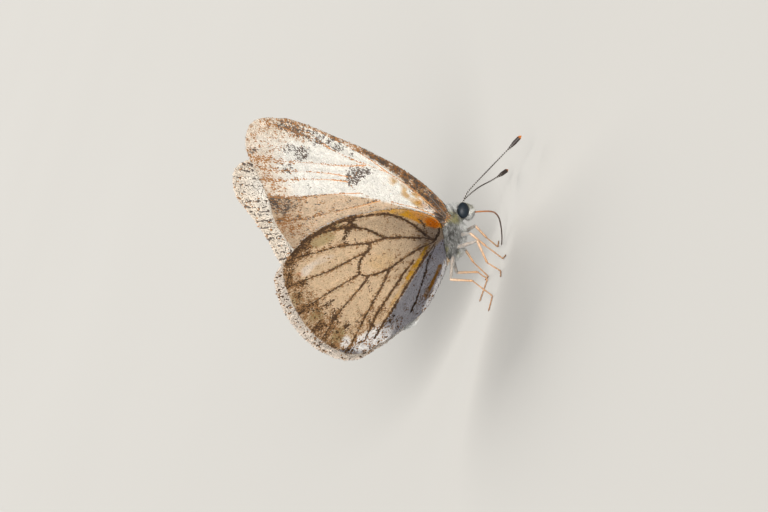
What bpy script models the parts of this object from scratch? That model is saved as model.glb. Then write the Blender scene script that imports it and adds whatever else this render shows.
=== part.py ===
"""A brown-veined white butterfly (Belenois aurota), life size, feeding with its wings closed.

X runs forward, Y to the animal's left and Z up; the feet stand on Z = 0. Lengths are in
millimetres here, and MM turns them into Blender's metres. Right-hand parts have SIDE -1.
"""

import math

import bmesh
import bpy
from mathutils import Matrix, Vector

MM = 0.001
GAP = 0.05              # clearance between neighbouring solids
SIDES = {"right": -1, "left": 1}

# Body: stations of (x, z, half height, half width) along its axis, from the rear forward.
THORAX = [
    (1.95, 6.05, 0.20, 0.20), (2.25, 6.10, 1.10, 0.90), (2.90, 6.13, 1.55, 1.22),
    (3.80, 6.12, 1.76, 1.36), (4.90, 6.16, 1.74, 1.38), (6.00, 6.34, 1.42, 1.28),
    (6.85, 6.62, 1.10, 1.08), (7.50, 6.90, 0.78, 0.82), (7.85, 7.05, 0.20, 0.25),
]
ABDOMEN = [
    (-6.75, 7.86, 0.16, 0.14), (-6.40, 7.80, 0.55, 0.46), (-5.20, 7.62, 0.92, 0.80),
    (-3.10, 7.30, 1.18, 1.04), (-1.10, 6.98, 1.24, 1.10), (0.80, 6.62, 1.16, 1.04),
    (2.30, 6.25, 0.95, 0.85), (2.75, 6.15, 0.25, 0.25),
]
THORAX_SQUARENESS = 2.6
ABDOMEN_SQUARENESS = 2.1
ABDOMEN_SEGMENTS = 9
SEGMENT_GROOVE = 0.035  # depth of the grooves, as a share of the radius

# Head and eyes: ellipsoids whose long axis is pitched up by HEAD_PITCH degrees.
HEAD_PITCH = 17.0
HEAD_CENTRE = (7.72, 0.0, 5.46)
HEAD_SEMI_AXES = (1.00, 0.98, 1.14)
EYE_CENTRE = (7.70, 0.74, 5.60)
EYE_SEMI_AXES = (0.92, 0.52, 0.70)

# Feelers and mouth parts: (x, y, z, radius) on the left; the two antennae differ.
ANTENNA = {
    "right": [(8.45, 0.42, 5.80, 0.25), (9.26, 0.75, 5.84, 0.25), (10.30, 1.25, 5.56, 0.25),
              (12.87, 2.55, 4.39, 0.25), (15.10, 3.50, 3.34, 0.25), (16.00, 3.85, 2.92, 0.31),
              (16.75, 4.07, 2.57, 0.34), (17.15, 4.20, 2.36, 0.28)],
    "left": [(8.45, 0.42, 5.75, 0.25), (9.40, 0.70, 5.50, 0.25), (11.38, 2.10, 4.20, 0.25),
             (13.00, 3.50, 2.76, 0.25), (14.00, 4.20, 1.92, 0.28), (14.70, 4.62, 1.38, 0.34),
             (15.20, 4.90, 1.00, 0.28)],
}
PALP = [(7.60, 0.55, 4.85, 0.30), (7.98, 0.58, 4.58, 0.30), (8.48, 0.62, 4.28, 0.22)]
PROBOSCIS = [(7.80, 0.00, 4.90, 0.25), (8.06, 0.00, 4.30, 0.25), (8.47, 0.00, 3.37, 0.25),
             (8.80, 0.00, 2.42, 0.25), (8.75, -0.10, 1.84, 0.25), (8.27, -0.20, 1.28, 0.25),
             (7.25, -0.40, 0.78, 0.25), (6.20, -0.60, 0.44, 0.25), (5.35, -0.80, 0.29, 0.25)]

# Legs: (x, y, z) of hip, knee, ankle, where the foot meets the floor, and toe, on the left.
FLOOR_AXIS = 0.20       # height of a foot's axis, whose underside the floor cuts flat
LEG_RADII = (0.30, 0.30, 0.26, 0.25, 0.25)
LEGS = {
    ("fore", "right"): [(4.90, 0.70, 5.10), (5.25, 1.80, 4.25), (4.35, 2.35, 2.30),
                        (3.55, 2.80, FLOOR_AXIS), (3.75, 3.75, FLOOR_AXIS)],
    ("mid", "right"): [(3.40, 0.70, 5.10), (4.50, 2.70, 3.42), (2.40, 3.30, 1.75),
                       (1.90, 3.70, FLOOR_AXIS), (1.20, 4.50, FLOOR_AXIS)],
    ("hind", "right"): [(2.75, 0.60, 5.20), (-0.50, 2.00, 4.90), (0.05, 2.65, 2.60),
                        (-1.00, 3.25, FLOOR_AXIS), (-2.70, 3.60, FLOOR_AXIS)],
    ("fore", "left"): [(5.00, 0.70, 5.10), (7.05, 1.70, 3.35), (6.21, 1.90, 1.62),
                       (5.72, 2.10, FLOOR_AXIS), (6.40, 2.60, FLOOR_AXIS)],
    ("mid", "left"): [(3.40, 0.70, 5.10), (4.12, 1.90, 3.58), (3.15, 2.30, 2.20),
                      (2.25, 2.60, FLOOR_AXIS), (2.00, 3.50, FLOOR_AXIS)],
    ("hind", "left"): [(2.75, 0.60, 5.20), (1.30, 1.80, 3.76), (2.26, 2.30, 1.40),
                       (1.85, 2.50, FLOOR_AXIS), (-0.60, 3.10, FLOOR_AXIS)],
}
KNEE_ROUND = 0.35       # how far a bend begins before its corner

# Wings: outline points (along, across) from the hinge, across being towards the front edge.
WING_THICKNESS = 0.50
WING_RINGS = 4
FORE_WING = {
    "outline": [(-1.15, 0.25), (-0.10, 0.95), (1.00, 1.68), (4.50, 2.68), (9.20, 3.14),
                (14.60, 2.92), (18.20, 2.74), (21.20, 2.12), (23.15, 1.10), (23.80, -0.40),
                (23.00, -2.60), (20.80, -4.50), (18.50, -6.60), (16.80, -8.60),
                (14.60, -10.00), (12.60, -10.70), (10.60, -9.75), (5.50, -5.90),
                (0.90, -2.30), (-0.75, -0.80)],
    "hub": (11.0, -2.0),
    "hinge": (6.08, 0.95, 7.55),
    "sweep": {"right": 83.0, "left": 96.0},
    "lean": -1.4,
    "twist": 0.0,
    "camber": 0.15,
}
HIND_WING = {
    "outline": [(-1.10, 0.60), (-0.95, 1.70), (0.20, 2.75), (3.20, 3.88), (8.50, 4.20),
                (12.80, 3.40), (15.60, 2.05), (17.50, 0.50), (17.95, -1.30), (17.60, -4.00),
                (16.60, -6.55), (15.20, -8.60), (13.20, -10.20), (11.00, -10.80),
                (8.80, -10.15), (5.70, -8.85), (2.60, -7.25), (0.70, -5.15),
                (-0.65, -3.20), (-0.95, -0.80)],
    "hub": (8.0, -3.0),
    "hinge": (3.39, 1.50, 7.82),
    "sweep": {"right": 120.0, "left": 121.5},
    "lean": 4.0,
    "twist": 3.0,
    "camber": 0.30,
}

COLOURS = {
    "hair": ((0.62, 0.62, 0.57), 0.90),
    "abdomen": ((0.66, 0.62, 0.54), 0.85),
    "eye": ((0.05, 0.08, 0.12), 0.25),
    "horn": ((0.05, 0.035, 0.03), 0.55),
    "leg": ((0.50, 0.30, 0.15), 0.60),
    "fore_wing": ((0.90, 0.87, 0.80), 0.75),
    "hind_wing": ((0.70, 0.60, 0.46), 0.75),
}


def clear_scene():
    """Removes whatever the scene holds."""
    for item in list(bpy.data.objects):
        bpy.data.objects.remove(item, do_unlink=True)


def collection(name):
    """A new collection, linked to the scene."""
    group = bpy.data.collections.new(name)
    bpy.context.scene.collection.children.link(group)
    return group


def add_object(name, mesh, colour, group):
    """An object of the mesh, with a material of its own."""
    rgb, roughness = COLOURS[colour]
    finish = bpy.data.materials.new(name + "_finish")
    finish.use_nodes = True
    shader = finish.node_tree.nodes["Principled BSDF"]
    shader.inputs["Base Color"].default_value = (*rgb, 1.0)
    shader.inputs["Roughness"].default_value = roughness
    shader.inputs["Metallic"].default_value = 0.0
    mesh.materials.clear()
    mesh.materials.append(finish)
    mesh.shade_smooth()
    mesh.set_sharp_from_angle(angle=math.radians(40))
    item = bpy.data.objects.new(name, mesh)
    group.objects.link(item)
    return item


def add_cutter(name, mesh, group):
    """An object that only cuts others: hidden from renders and drawn as a wire."""
    cutter = bpy.data.objects.new(name, mesh)
    cutter.hide_render = True
    cutter.display_type = "WIRE"
    group.objects.link(cutter)
    return cutter


def subtract(item, *cutters):
    """Cuts each cutter out of the object."""
    for cutter in cutters:
        cut = item.modifiers.new("cut_" + cutter.name, "BOOLEAN")
        cut.operation = "DIFFERENCE"
        cut.solver = "EXACT"
        cut.object = cutter


def mesh_from(name, points, faces):
    """A mesh from points in millimetres."""
    mesh = bpy.data.meshes.new(name)
    mesh.from_pydata([Vector(p) * MM for p in points], [], faces)
    mesh.update()
    return mesh


def spline(points, steps, closed=False):
    """Points of a Catmull-Rom curve through `points`, with `steps` to each span."""
    count = len(points)
    spans = count if closed else count - 1
    result = []
    for i in range(spans):
        if closed:
            p = [Vector(points[(i + k) % count]) for k in (-1, 0, 1, 2)]
        else:
            p = [Vector(points[min(max(i + k, 0), count - 1)]) for k in (-1, 0, 1, 2)]
        for step in range(steps):
            t = step / steps
            result.append(0.5 * (2 * p[1] + (p[2] - p[0]) * t
                                 + (2 * p[0] - 5 * p[1] + 4 * p[2] - p[3]) * t * t
                                 + (3 * p[1] - p[0] - 3 * p[2] + p[3]) * t ** 3))
    if not closed:
        result.append(Vector(points[-1]))
    return result


# ---------------------------------------------------------------- body

def superellipse(angle, power):
    """A point on a unit superellipse."""
    c, s = math.cos(angle), math.sin(angle)
    return (math.copysign(abs(c) ** (2 / power), c), math.copysign(abs(s) ** (2 / power), s))


def body_mesh(name, stations, steps, sides, power, grow=0.0, segments=0):
    """A closed loft of superellipse rings square to the body's axis in the XZ plane."""
    path = spline(stations, steps)
    points, faces = [], []
    for i, (x, z, height, width) in enumerate(path):
        ahead, behind = path[min(i + 1, len(path) - 1)], path[max(i - 1, 0)]
        along = Vector((ahead[0] - behind[0], ahead[1] - behind[1])).normalized()
        groove = 0.0
        if segments:
            phase = segments * i / (len(path) - 1)
            groove = SEGMENT_GROOVE * (1 - abs(math.sin(math.pi * phase))) ** 2
        for k in range(sides):
            across, up = superellipse(2 * math.pi * k / sides, power)
            up *= height * (1 - groove) + grow
            points.append((x - along[1] * up, across * (width * (1 - groove) + grow),
                           z + along[0] * up))
    for i in range(len(path) - 1):
        for k in range(sides):
            a, b = i * sides + k, i * sides + (k + 1) % sides
            faces.append((a, b, b + sides, a + sides))
    last = len(points) - sides
    faces.append(tuple(reversed(range(sides))))
    faces.append(tuple(range(last, last + sides)))
    return mesh_from(name, points, faces)


def ellipsoid_mesh(name, centre, semi_axes, pitch, rings, grow=0.0):
    """An ellipsoid whose first axis is pitched up by `pitch` degrees."""
    shape = bmesh.new()
    bmesh.ops.create_uvsphere(shape, u_segments=2 * rings, v_segments=rings, radius=1.0)
    scale = Matrix.Diagonal([(s + grow) * MM for s in semi_axes] + [1.0])
    turn = Matrix.Rotation(math.radians(-pitch), 4, "Y")
    shape.transform(Matrix.Translation(Vector(centre) * MM) @ turn @ scale)
    mesh = bpy.data.meshes.new(name)
    shape.to_mesh(mesh)
    shape.free()
    return mesh


def mirrored(points, side):
    """Left-hand points moved to the given side."""
    return [(p[0], p[1] * side, *p[2:]) for p in points]


# ---------------------------------------------------------------- tubes

def rounded_corners(points, reach):
    """The path with each inner corner replaced by three points of a soft bend."""
    path = [Vector(points[0])]
    for before, corner, after in zip(points, points[1:], points[2:]):
        before, corner, after = Vector(before), Vector(corner), Vector(after)
        enter = corner + (before - corner).normalized() * reach
        leave = corner + (after - corner).normalized() * reach
        path += [enter, 0.5 * corner + 0.25 * (enter + leave), leave]
    path.append(Vector(points[-1]))
    return path


def tube_mesh(name, path, radii):
    """A round tube with filled caps along the path, in millimetres, as one closed mesh."""
    curve = bpy.data.curves.new(name, "CURVE")
    curve.dimensions = "3D"
    curve.bevel_depth = MM
    curve.bevel_resolution = 2
    curve.use_fill_caps = True
    line = curve.splines.new("POLY")
    line.points.add(len(path) - 1)
    for point, place, radius in zip(line.points, path, radii):
        point.co = (*(Vector(place[:3]) * MM), 1.0)
        point.radius = radius
    guide = bpy.data.objects.new(name, curve)
    bpy.context.scene.collection.objects.link(guide)
    depsgraph = bpy.context.evaluated_depsgraph_get()
    mesh = bpy.data.meshes.new_from_object(guide.evaluated_get(depsgraph))
    bpy.data.objects.remove(guide, do_unlink=True)
    shape = bmesh.new()
    shape.from_mesh(mesh)
    bmesh.ops.remove_doubles(shape, verts=shape.verts, dist=1e-7)
    shape.to_mesh(mesh)
    shape.free()
    return mesh


def feeler_mesh(name, points, side, steps):
    """A smooth tube through points that carry their own radius."""
    path = spline(mirrored(points, side), steps)
    return tube_mesh(name, path, [p[3] for p in path])


def leg_mesh(name, points, side):
    """A jointed tube from the hip to the toe."""
    path = rounded_corners(mirrored(points, side), KNEE_ROUND)
    radii = [LEG_RADII[(i + 1) // 3] for i in range(len(path))]
    return tube_mesh(name, path, radii)


# ---------------------------------------------------------------- wings

def wing_axes(wing, side_name):
    """The wing's own axes in space: along it, across it towards the front edge, outward."""
    side = SIDES[side_name]
    sweep, lean, twist = (math.radians(a) for a in
                          (wing["sweep"][side_name], wing["lean"], wing["twist"]))
    outward = Vector((0, side, 0))
    along = Vector((math.cos(sweep), 0, math.sin(sweep)))
    across = Vector((math.sin(sweep), 0, -math.cos(sweep)))
    along, outward = (along * math.cos(lean) + outward * math.sin(lean),
                      outward * math.cos(lean) - along * math.sin(lean))
    across, outward = (across * math.cos(twist) + outward * math.sin(twist),
                       outward * math.cos(twist) - across * math.sin(twist))
    return along, across, outward


def wing_mesh(name, wing, side_name):
    """The wing's middle surface: rings that shrink from the outline to the hub."""
    side = SIDES[side_name]
    along, across, outward = wing_axes(wing, side_name)
    hinge = Vector((wing["hinge"][0], wing["hinge"][1] * side, wing["hinge"][2]))
    hub = Vector(wing["hub"])
    outline = spline(wing["outline"], 2, closed=True)

    def place(flat, share):
        bulge = wing["camber"] * (1 - share * share)
        return hinge + along * flat[0] + across * flat[1] + outward * bulge

    points = [place(hub, 0.0)]
    for ring in range(1, WING_RINGS + 1):
        share = ring / WING_RINGS
        points += [place(hub.lerp(edge, share), share) for edge in outline]
    count = len(outline)
    faces = [(0, 1 + (k + 1) % count, 1 + k) for k in range(count)]
    for ring in range(WING_RINGS - 1):
        inner, outer = 1 + ring * count, 1 + (ring + 1) * count
        for k in range(count):
            after = (k + 1) % count
            faces.append((inner + k, inner + after, outer + after, outer + k))
    return mesh_from(name, points, faces)


def add_wing(name, wing, side_name, colour, parts, cutter):
    """A wing with its thickness, fitted round the thorax."""
    item = add_object(name, wing_mesh(name, wing, side_name), colour, parts)
    shell = item.modifiers.new("thickness", "SOLIDIFY")
    shell.thickness = WING_THICKNESS * MM
    shell.offset = 0.0
    subtract(item, cutter)


# ---------------------------------------------------------------- the whole animal

def build_body(parts, cutters):
    """Head, thorax and abdomen, and the grown copies that make room between them."""
    def thorax_mesh(name, grow=0.0):
        return body_mesh(name, THORAX, 2, 24, THORAX_SQUARENESS, grow)

    def head_mesh(name, grow=0.0):
        return ellipsoid_mesh(name, HEAD_CENTRE, HEAD_SEMI_AXES, HEAD_PITCH, 11, grow)

    head_cutter = add_cutter("head_cutter", head_mesh("head_cutter", GAP), cutters)
    thorax_cutter = add_cutter("thorax_cutter", thorax_mesh("thorax_cutter", GAP), cutters)
    head = add_object("head", head_mesh("head"), "hair", parts)
    thorax = add_object("thorax", thorax_mesh("thorax"), "hair", parts)
    subtract(thorax, head_cutter)
    mesh = body_mesh("abdomen", ABDOMEN, 4, 16, ABDOMEN_SQUARENESS, segments=ABDOMEN_SEGMENTS)
    abdomen = add_object("abdomen", mesh, "abdomen", parts)
    subtract(abdomen, thorax_cutter)
    for side_name, side in SIDES.items():
        centre = (EYE_CENTRE[0], EYE_CENTRE[1] * side, EYE_CENTRE[2])
        for name, grow in (("eye_" + side_name, 0.0), ("socket_" + side_name, GAP)):
            mesh = ellipsoid_mesh(name, centre, EYE_SEMI_AXES, HEAD_PITCH, 9, grow)
            if grow:
                socket = add_cutter(name, mesh, cutters)
                subtract(head, socket)
                subtract(thorax, socket)
            else:
                add_object(name, mesh, "eye", parts)
    return head_cutter, thorax_cutter


def build_feelers(parts, head_cutter):
    """Antennae, palps and the uncoiled proboscis."""
    for side_name, side in SIDES.items():
        name = "antenna_" + side_name
        mesh = feeler_mesh(name, ANTENNA[side_name], side, 2)
        subtract(add_object(name, mesh, "horn", parts), head_cutter)
        name = "palp_" + side_name
        subtract(add_object(name, feeler_mesh(name, PALP, side, 3), "hair", parts), head_cutter)
    mesh = feeler_mesh("proboscis", PROBOSCIS, 1, 2)
    subtract(add_object("proboscis", mesh, "horn", parts), head_cutter)


def build_legs(parts, cutters, thorax_cutter):
    """Six legs whose feet are cut flat at the floor."""
    below = Matrix.Translation((0, 0, -5 * MM)) @ Matrix.Diagonal((60 * MM, 60 * MM, 10 * MM, 1))
    shape = bmesh.new()
    bmesh.ops.create_cube(shape, size=1.0, matrix=below)
    mesh = bpy.data.meshes.new("floor_cutter")
    shape.to_mesh(mesh)
    shape.free()
    floor = add_cutter("floor_cutter", mesh, cutters)
    for (place, side_name), points in LEGS.items():
        name = f"leg_{place}_{side_name}"
        leg = add_object(name, leg_mesh(name, points, SIDES[side_name]), "leg", parts)
        subtract(leg, thorax_cutter, floor)


def build_wings(parts, thorax_cutter):
    """Fore wings inside, hind wings outside them."""
    for side_name in SIDES:
        add_wing("wing_fore_" + side_name, FORE_WING, side_name, "fore_wing", parts,
                 thorax_cutter)
        add_wing("wing_hind_" + side_name, HIND_WING, side_name, "hind_wing", parts,
                 thorax_cutter)


def centre_on_origin(parts, cutters):
    """Hangs every object on one empty and centres the model over the origin."""
    stand_point = bpy.data.objects.new("butterfly", None)
    bpy.context.scene.collection.objects.link(stand_point)
    for item in [*parts.objects, *cutters.objects]:
        item.parent = stand_point
    depsgraph = bpy.context.evaluated_depsgraph_get()
    corners = [v.co for item in parts.objects
               for v in item.evaluated_get(depsgraph).data.vertices]
    for axis in (0, 1):
        values = [c[axis] for c in corners]
        stand_point.location[axis] = -0.5 * (min(values) + max(values))


def main():
    clear_scene()
    parts = collection("butterfly_parts")
    cutters = collection("butterfly_cutters")
    head_cutter, thorax_cutter = build_body(parts, cutters)
    build_feelers(parts, head_cutter)
    build_legs(parts, cutters, thorax_cutter)
    build_wings(parts, thorax_cutter)
    centre_on_origin(parts, cutters)


main()
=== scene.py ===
"""The looks of a life-size brown-veined white (Belenois aurota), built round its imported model.

Lengths are in millimetres in the butterfly's own axes: X forward, Y to its left and Z up from
the floor. to_world() turns them into the frame's metres. Wings have flat coordinates of their
own: (along the wing, across it towards the front edge), measured from the hinge.
"""

import math

import bmesh
import bpy
import numpy as np
from mathutils import Matrix, Vector
from mathutils.geometry import delaunay_2d_cdt
from mathutils.kdtree import KDTree


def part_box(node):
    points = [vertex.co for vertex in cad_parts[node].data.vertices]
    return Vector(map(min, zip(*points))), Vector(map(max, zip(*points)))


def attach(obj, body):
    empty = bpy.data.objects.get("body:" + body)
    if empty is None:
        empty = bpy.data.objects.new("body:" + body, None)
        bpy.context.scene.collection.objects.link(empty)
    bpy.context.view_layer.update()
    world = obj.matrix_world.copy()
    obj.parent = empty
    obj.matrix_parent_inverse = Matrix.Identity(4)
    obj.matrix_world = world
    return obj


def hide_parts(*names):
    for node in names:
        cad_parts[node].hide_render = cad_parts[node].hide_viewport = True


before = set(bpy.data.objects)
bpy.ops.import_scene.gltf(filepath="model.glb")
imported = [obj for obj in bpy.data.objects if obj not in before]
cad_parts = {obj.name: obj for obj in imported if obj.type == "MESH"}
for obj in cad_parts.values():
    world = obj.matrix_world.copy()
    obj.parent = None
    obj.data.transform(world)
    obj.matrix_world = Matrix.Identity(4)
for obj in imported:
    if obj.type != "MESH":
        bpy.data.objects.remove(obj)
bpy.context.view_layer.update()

MM = 0.001
SIDES = {"right": -1, "left": 1}
QUICK = 1

# Body: stations of (x, z, half height, half width) from the rear forward.
THORAX = [
    (1.95, 6.05, 0.20, 0.20), (2.25, 6.10, 1.10, 0.90), (2.90, 6.13, 1.55, 1.22),
    (3.80, 6.12, 1.76, 1.36), (4.90, 6.16, 1.74, 1.38), (6.00, 6.34, 1.42, 1.28),
    (6.85, 6.62, 1.10, 1.08), (7.50, 6.90, 0.78, 0.82), (7.85, 7.05, 0.20, 0.25),
]
ABDOMEN = [
    (-6.75, 7.86, 0.16, 0.14), (-6.40, 7.80, 0.55, 0.46), (-5.20, 7.62, 0.92, 0.80),
    (-3.10, 7.30, 1.18, 1.04), (-1.10, 6.98, 1.24, 1.10), (0.80, 6.62, 1.16, 1.04),
    (2.30, 6.25, 0.95, 0.85), (2.75, 6.15, 0.25, 0.25),
]
HEAD_PITCH = math.radians(17.0)
HEAD_CENTRE = np.array((7.72, 0.0, 5.46))
HEAD_SEMI_AXES = np.array((1.00, 0.98, 1.14))
NECK_OFFSET = np.array((-0.75, 0.0, 0.55))          # from the head's centre
NECK_SEMI_AXES = np.array((0.75, 0.62, 0.80))
EYE_CENTRE = np.array((7.70, 0.74, 5.60))
EYE_SEMI_AXES = np.array((0.92, 0.52, 0.70))

ANTENNA = {
    "right": [(8.45, 0.42, 5.80), (9.26, 0.75, 5.84), (10.30, 1.25, 5.56), (12.87, 2.55, 4.39),
              (15.10, 3.50, 3.34), (16.00, 3.85, 2.92), (16.75, 4.07, 2.57), (17.15, 4.20, 2.36)],
    "left": [(8.45, 0.42, 5.75), (9.40, 0.70, 5.50), (11.38, 2.10, 4.20), (13.00, 3.50, 2.76),
             (14.00, 4.20, 1.92), (14.70, 4.62, 1.38), (15.20, 4.90, 1.00)],
}
PALP = [(7.60, 0.55, 4.85), (7.98, 0.58, 4.58), (8.48, 0.62, 4.28)]
PROBOSCIS = [(7.80, 0.00, 4.90), (8.06, 0.00, 4.30), (8.47, 0.00, 3.37), (8.80, 0.00, 2.42),
             (8.75, -0.10, 1.84), (8.27, -0.20, 1.28), (7.25, -0.40, 0.78), (6.20, -0.60, 0.44),
             (5.35, -0.80, 0.29)]

# Legs: hip, knee, ankle, where the foot meets the floor, and toe, all as if on the left.
FOOT_RADIUS = 0.09
LEGS = {
    ("fore", "right"): [(4.90, 0.70, 5.10), (5.25, 1.80, 4.25), (4.35, 2.35, 2.30),
                        (3.55, 2.80, FOOT_RADIUS), (3.75, 3.75, FOOT_RADIUS)],
    ("mid", "right"): [(3.40, 0.70, 5.10), (4.50, 2.70, 3.42), (2.40, 3.30, 1.75),
                       (1.90, 3.70, FOOT_RADIUS), (1.20, 4.50, FOOT_RADIUS)],
    ("hind", "right"): [(2.75, 0.60, 5.20), (-0.50, 2.00, 4.90), (0.05, 2.65, 2.60),
                        (-1.00, 3.25, FOOT_RADIUS), (-2.70, 3.60, FOOT_RADIUS)],
    ("fore", "left"): [(5.00, 0.70, 5.10), (7.05, 1.70, 3.35), (6.21, 1.90, 1.62),
                       (5.72, 2.10, FOOT_RADIUS), (6.40, 2.60, FOOT_RADIUS)],
    ("mid", "left"): [(3.40, 0.70, 5.10), (4.12, 1.90, 3.58), (3.15, 2.30, 2.20),
                      (2.25, 2.60, FOOT_RADIUS), (2.00, 3.50, FOOT_RADIUS)],
    ("hind", "left"): [(2.75, 0.60, 5.20), (1.30, 1.80, 3.76), (2.26, 2.30, 1.40),
                       (1.85, 2.50, FOOT_RADIUS), (-0.60, 3.10, FOOT_RADIUS)],
}

# Wings: the outline, its front and outer edges as spans of it, the hub that it is seen from, the
# hinge, how the wing hangs there (in degrees), how far it bulges, and the veins. A side's sweep is
# its own.
FORE_WING = {
    "outline": [(-1.15, 0.25), (-0.10, 0.95), (1.00, 1.68), (4.50, 2.68), (9.20, 3.14),
                (14.60, 2.92), (18.20, 2.74), (21.20, 2.12), (23.15, 1.10), (23.80, -0.40),
                (23.00, -2.60), (20.80, -4.50), (18.50, -6.60), (16.80, -8.60),
                (14.60, -10.00), (12.60, -10.70), (10.60, -9.75), (5.50, -5.90),
                (0.90, -2.30), (-0.75, -0.80)],
    "front_edge": (1, 7),
    "outer_edge": (7, 15),
    "hub": (11.0, -2.0),
    "hinge": (6.08, 0.95, 7.55),
    "sweep": {"right": 83.0, "left": 96.0},
    "lean": -1.4,
    "twist": 0.0,
    "camber": 0.15,
    "veins": {
        "Sc": [(-0.3, 0.4), (2.8, 1.70), (6.0, 2.45), (9.0, 2.80), (12.4, 2.95)],
        "R": [(-0.2, 0.1), (2.0, 0.75), (4.6, 1.45), (7.4, 1.88), (10.0, 1.72), (11.6, 1.50),
              (14.4, 1.48), (18.0, 1.62), (23.2, 0.95)],
        "R1": [(7.6, 1.90), (9.8, 2.30), (11.9, 2.55), (14.4, 2.68), (17.0, 2.75)],
        "R3": [(14.6, 1.50), (17.4, 2.10), (20.8, 2.30)],
        "M1": [(10.3, 1.55), (12.3, 0.50), (14.0, -0.20), (16.4, -1.10), (19.0, -2.20),
               (22.4, -3.20)],
        "M2": [(10.8, -0.30), (13.6, -1.10), (16.6, -2.30), (19.0, -3.40), (21.4, -4.05)],
        "M3": [(11.4, -1.05), (13.5, -1.80), (15.5, -2.75), (17.8, -3.90), (20.3, -5.00)],
        "cell": [(10.2, 1.60), (10.7, 0.60), (10.75, -0.30), (11.4, -1.05)],
        "Cu": [(-0.2, -0.05), (2.8, -0.30), (5.2, -0.78), (7.3, -1.35), (9.2, -1.58),
               (10.5, -1.35), (11.4, -1.05)],
        "CuA1": [(9.6, -1.58), (11.9, -2.85), (13.8, -4.00), (16.2, -5.40), (18.6, -6.60)],
        "CuA2": [(7.2, -1.35), (8.8, -2.75), (10.4, -4.05), (12.2, -5.50), (14.0, -7.00),
                 (16.9, -8.55)],
        "A2": [(-0.3, -0.30), (4.0, -3.65), (8.0, -7.05), (11.0, -9.40), (13.8, -10.30)],
    },
}
HIND_WING = {
    "outline": [(-1.10, 0.60), (-0.95, 1.70), (0.20, 2.75), (3.20, 3.88), (8.50, 4.20),
                (12.80, 3.40), (15.60, 2.05), (17.50, 0.50), (17.95, -1.30), (17.60, -4.00),
                (16.60, -6.55), (15.20, -8.60), (13.20, -10.20), (11.00, -10.80),
                (8.80, -10.15), (5.70, -8.85), (2.60, -7.25), (0.70, -5.15),
                (-0.65, -3.20), (-0.95, -0.80)],
    "front_edge": (1, 6),
    "outer_edge": (6, 14),
    "hub": (8.0, -3.0),
    "hinge": (3.39, 1.50, 7.82),
    "sweep": {"right": 120.0, "left": 121.5},
    "lean": 4.0,
    "twist": 3.0,
    "camber": 0.30,
    "veins": {
        "Sc": [(0.1, -0.10), (0.65, 0.35), (1.15, 0.95), (2.2, 2.10), (3.6, 3.15), (5.1, 3.72),
               (7.6, 3.92), (10.5, 3.72), (12.8, 3.15), (14.9, 2.35)],
        "humeral": [(0.95, 0.75), (0.72, 1.40), (0.95, 2.05), (1.30, 2.55)],
        "Rs": [(0.2, -0.10), (1.6, 0.42), (3.6, 0.85), (5.4, 1.12), (7.0, 2.15), (8.4, 2.80),
               (10.0, 3.02), (12.0, 2.98), (14.0, 2.62), (15.7, 1.85)],
        "M1": [(5.4, 1.12), (7.4, 0.92), (9.3, 1.05), (11.4, 1.15), (13.4, 0.98), (15.6, 0.85),
               (17.3, 0.60)],
        "M2": [(7.5, 0.92), (7.7, 0.20), (8.4, -0.12), (9.8, -0.45), (11.4, -0.92),
               (13.0, -1.32), (15.4, -1.75), (17.8, -2.20)],
        "cell": [(7.9, 0.05), (8.75, -0.60), (9.15, -1.40), (9.4, -2.25)],
        "Cu": [(0.1, -0.25), (1.5, -0.60), (3.3, -1.18), (4.8, -1.80), (6.0, -2.28),
               (7.4, -2.58), (8.5, -2.58), (9.4, -2.25)],
        "M3": [(9.4, -2.25), (10.8, -2.72), (12.4, -3.28), (14.0, -3.88), (15.6, -4.55),
               (17.2, -5.30)],
        "CuA1": [(8.4, -2.60), (9.3, -3.50), (10.6, -4.45), (11.9, -5.45), (13.1, -6.50),
                 (14.4, -7.80), (15.2, -8.60)],
        "CuA2": [(5.8, -2.22), (6.6, -3.35), (7.8, -4.75), (9.1, -6.20), (10.3, -7.65),
                 (11.4, -9.00), (12.4, -10.35)],
        "fold": [(2.8, -1.80), (4.3, -3.05), (5.7, -4.35), (7.0, -5.60), (8.2, -6.75),
                 (9.2, -8.00), (10.4, -9.60)],
        "A2": [(0.3, -0.60), (1.3, -1.55), (2.8, -3.05), (4.6, -4.80), (6.3, -6.55),
               (7.9, -8.10), (9.4, -9.70)],
        "A3": [(0.2, -0.80), (1.0, -1.90), (2.1, -3.90), (3.2, -5.70), (4.4, -7.40)],
    },
}
OUTLINE_STEPS = 16      # points to each span of a wing's outline
MEMBRANE = 0.035        # half the thickness of a wing's membrane
MEMBRANE_GRID = 0.15    # between the membrane's points
RIM_GRID = 0.14         # between the points of its edge
VEIN_RADII = (0.085, 0.040)         # at the hinge and at the far end
VEIN_GRID = 0.15
VEIN_SIDES = 8
THIN_VEINS = ("fold", "humeral", "cell")
COSTA_INSET = 0.07      # how far the front edge's own vein lies inside the outline
PLEAT_DEPTH = 0.07      # how far the membrane sinks between veins
PLEAT_WIDTH = 0.55      # over what distance from a vein it does
WAVE_DEPTH = 0.22
WAVE_LENGTH = 3.6
SCALLOP_DEPTH = 0.13    # how far the worn edge runs in between veins
NICK_DEPTH = 0.16
VEIN_ROLL = 0.35        # a vein is evenly coloured: it takes on the markings denser than this
SCALE_LENGTH = 0.27
SCALE_WIDTH = 0.088
SCALE_OVERLAP = 0.48    # how much of a scale the next row covers
SCALE_SPACING = 0.90    # between scales side by side, in widths
SCALE_FAN = (-6.0, 0.5)             # scales point away from here, behind the hinge
CLUMPING = 0.8          # how much dark and brown scales keep together
CLUMP_SIZE = 0.32
FRINGE_LENGTH = 0.26
FRINGE_WIDTH = 0.6      # as a share of a scale's
FRINGE_SPACING = 0.05
FRINGE_INSET = 0.16     # how far inside the outline fringe scales root
INNER_COARSENESS = 1.5  # how much bigger scales are on the faces between the closed wings

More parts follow.
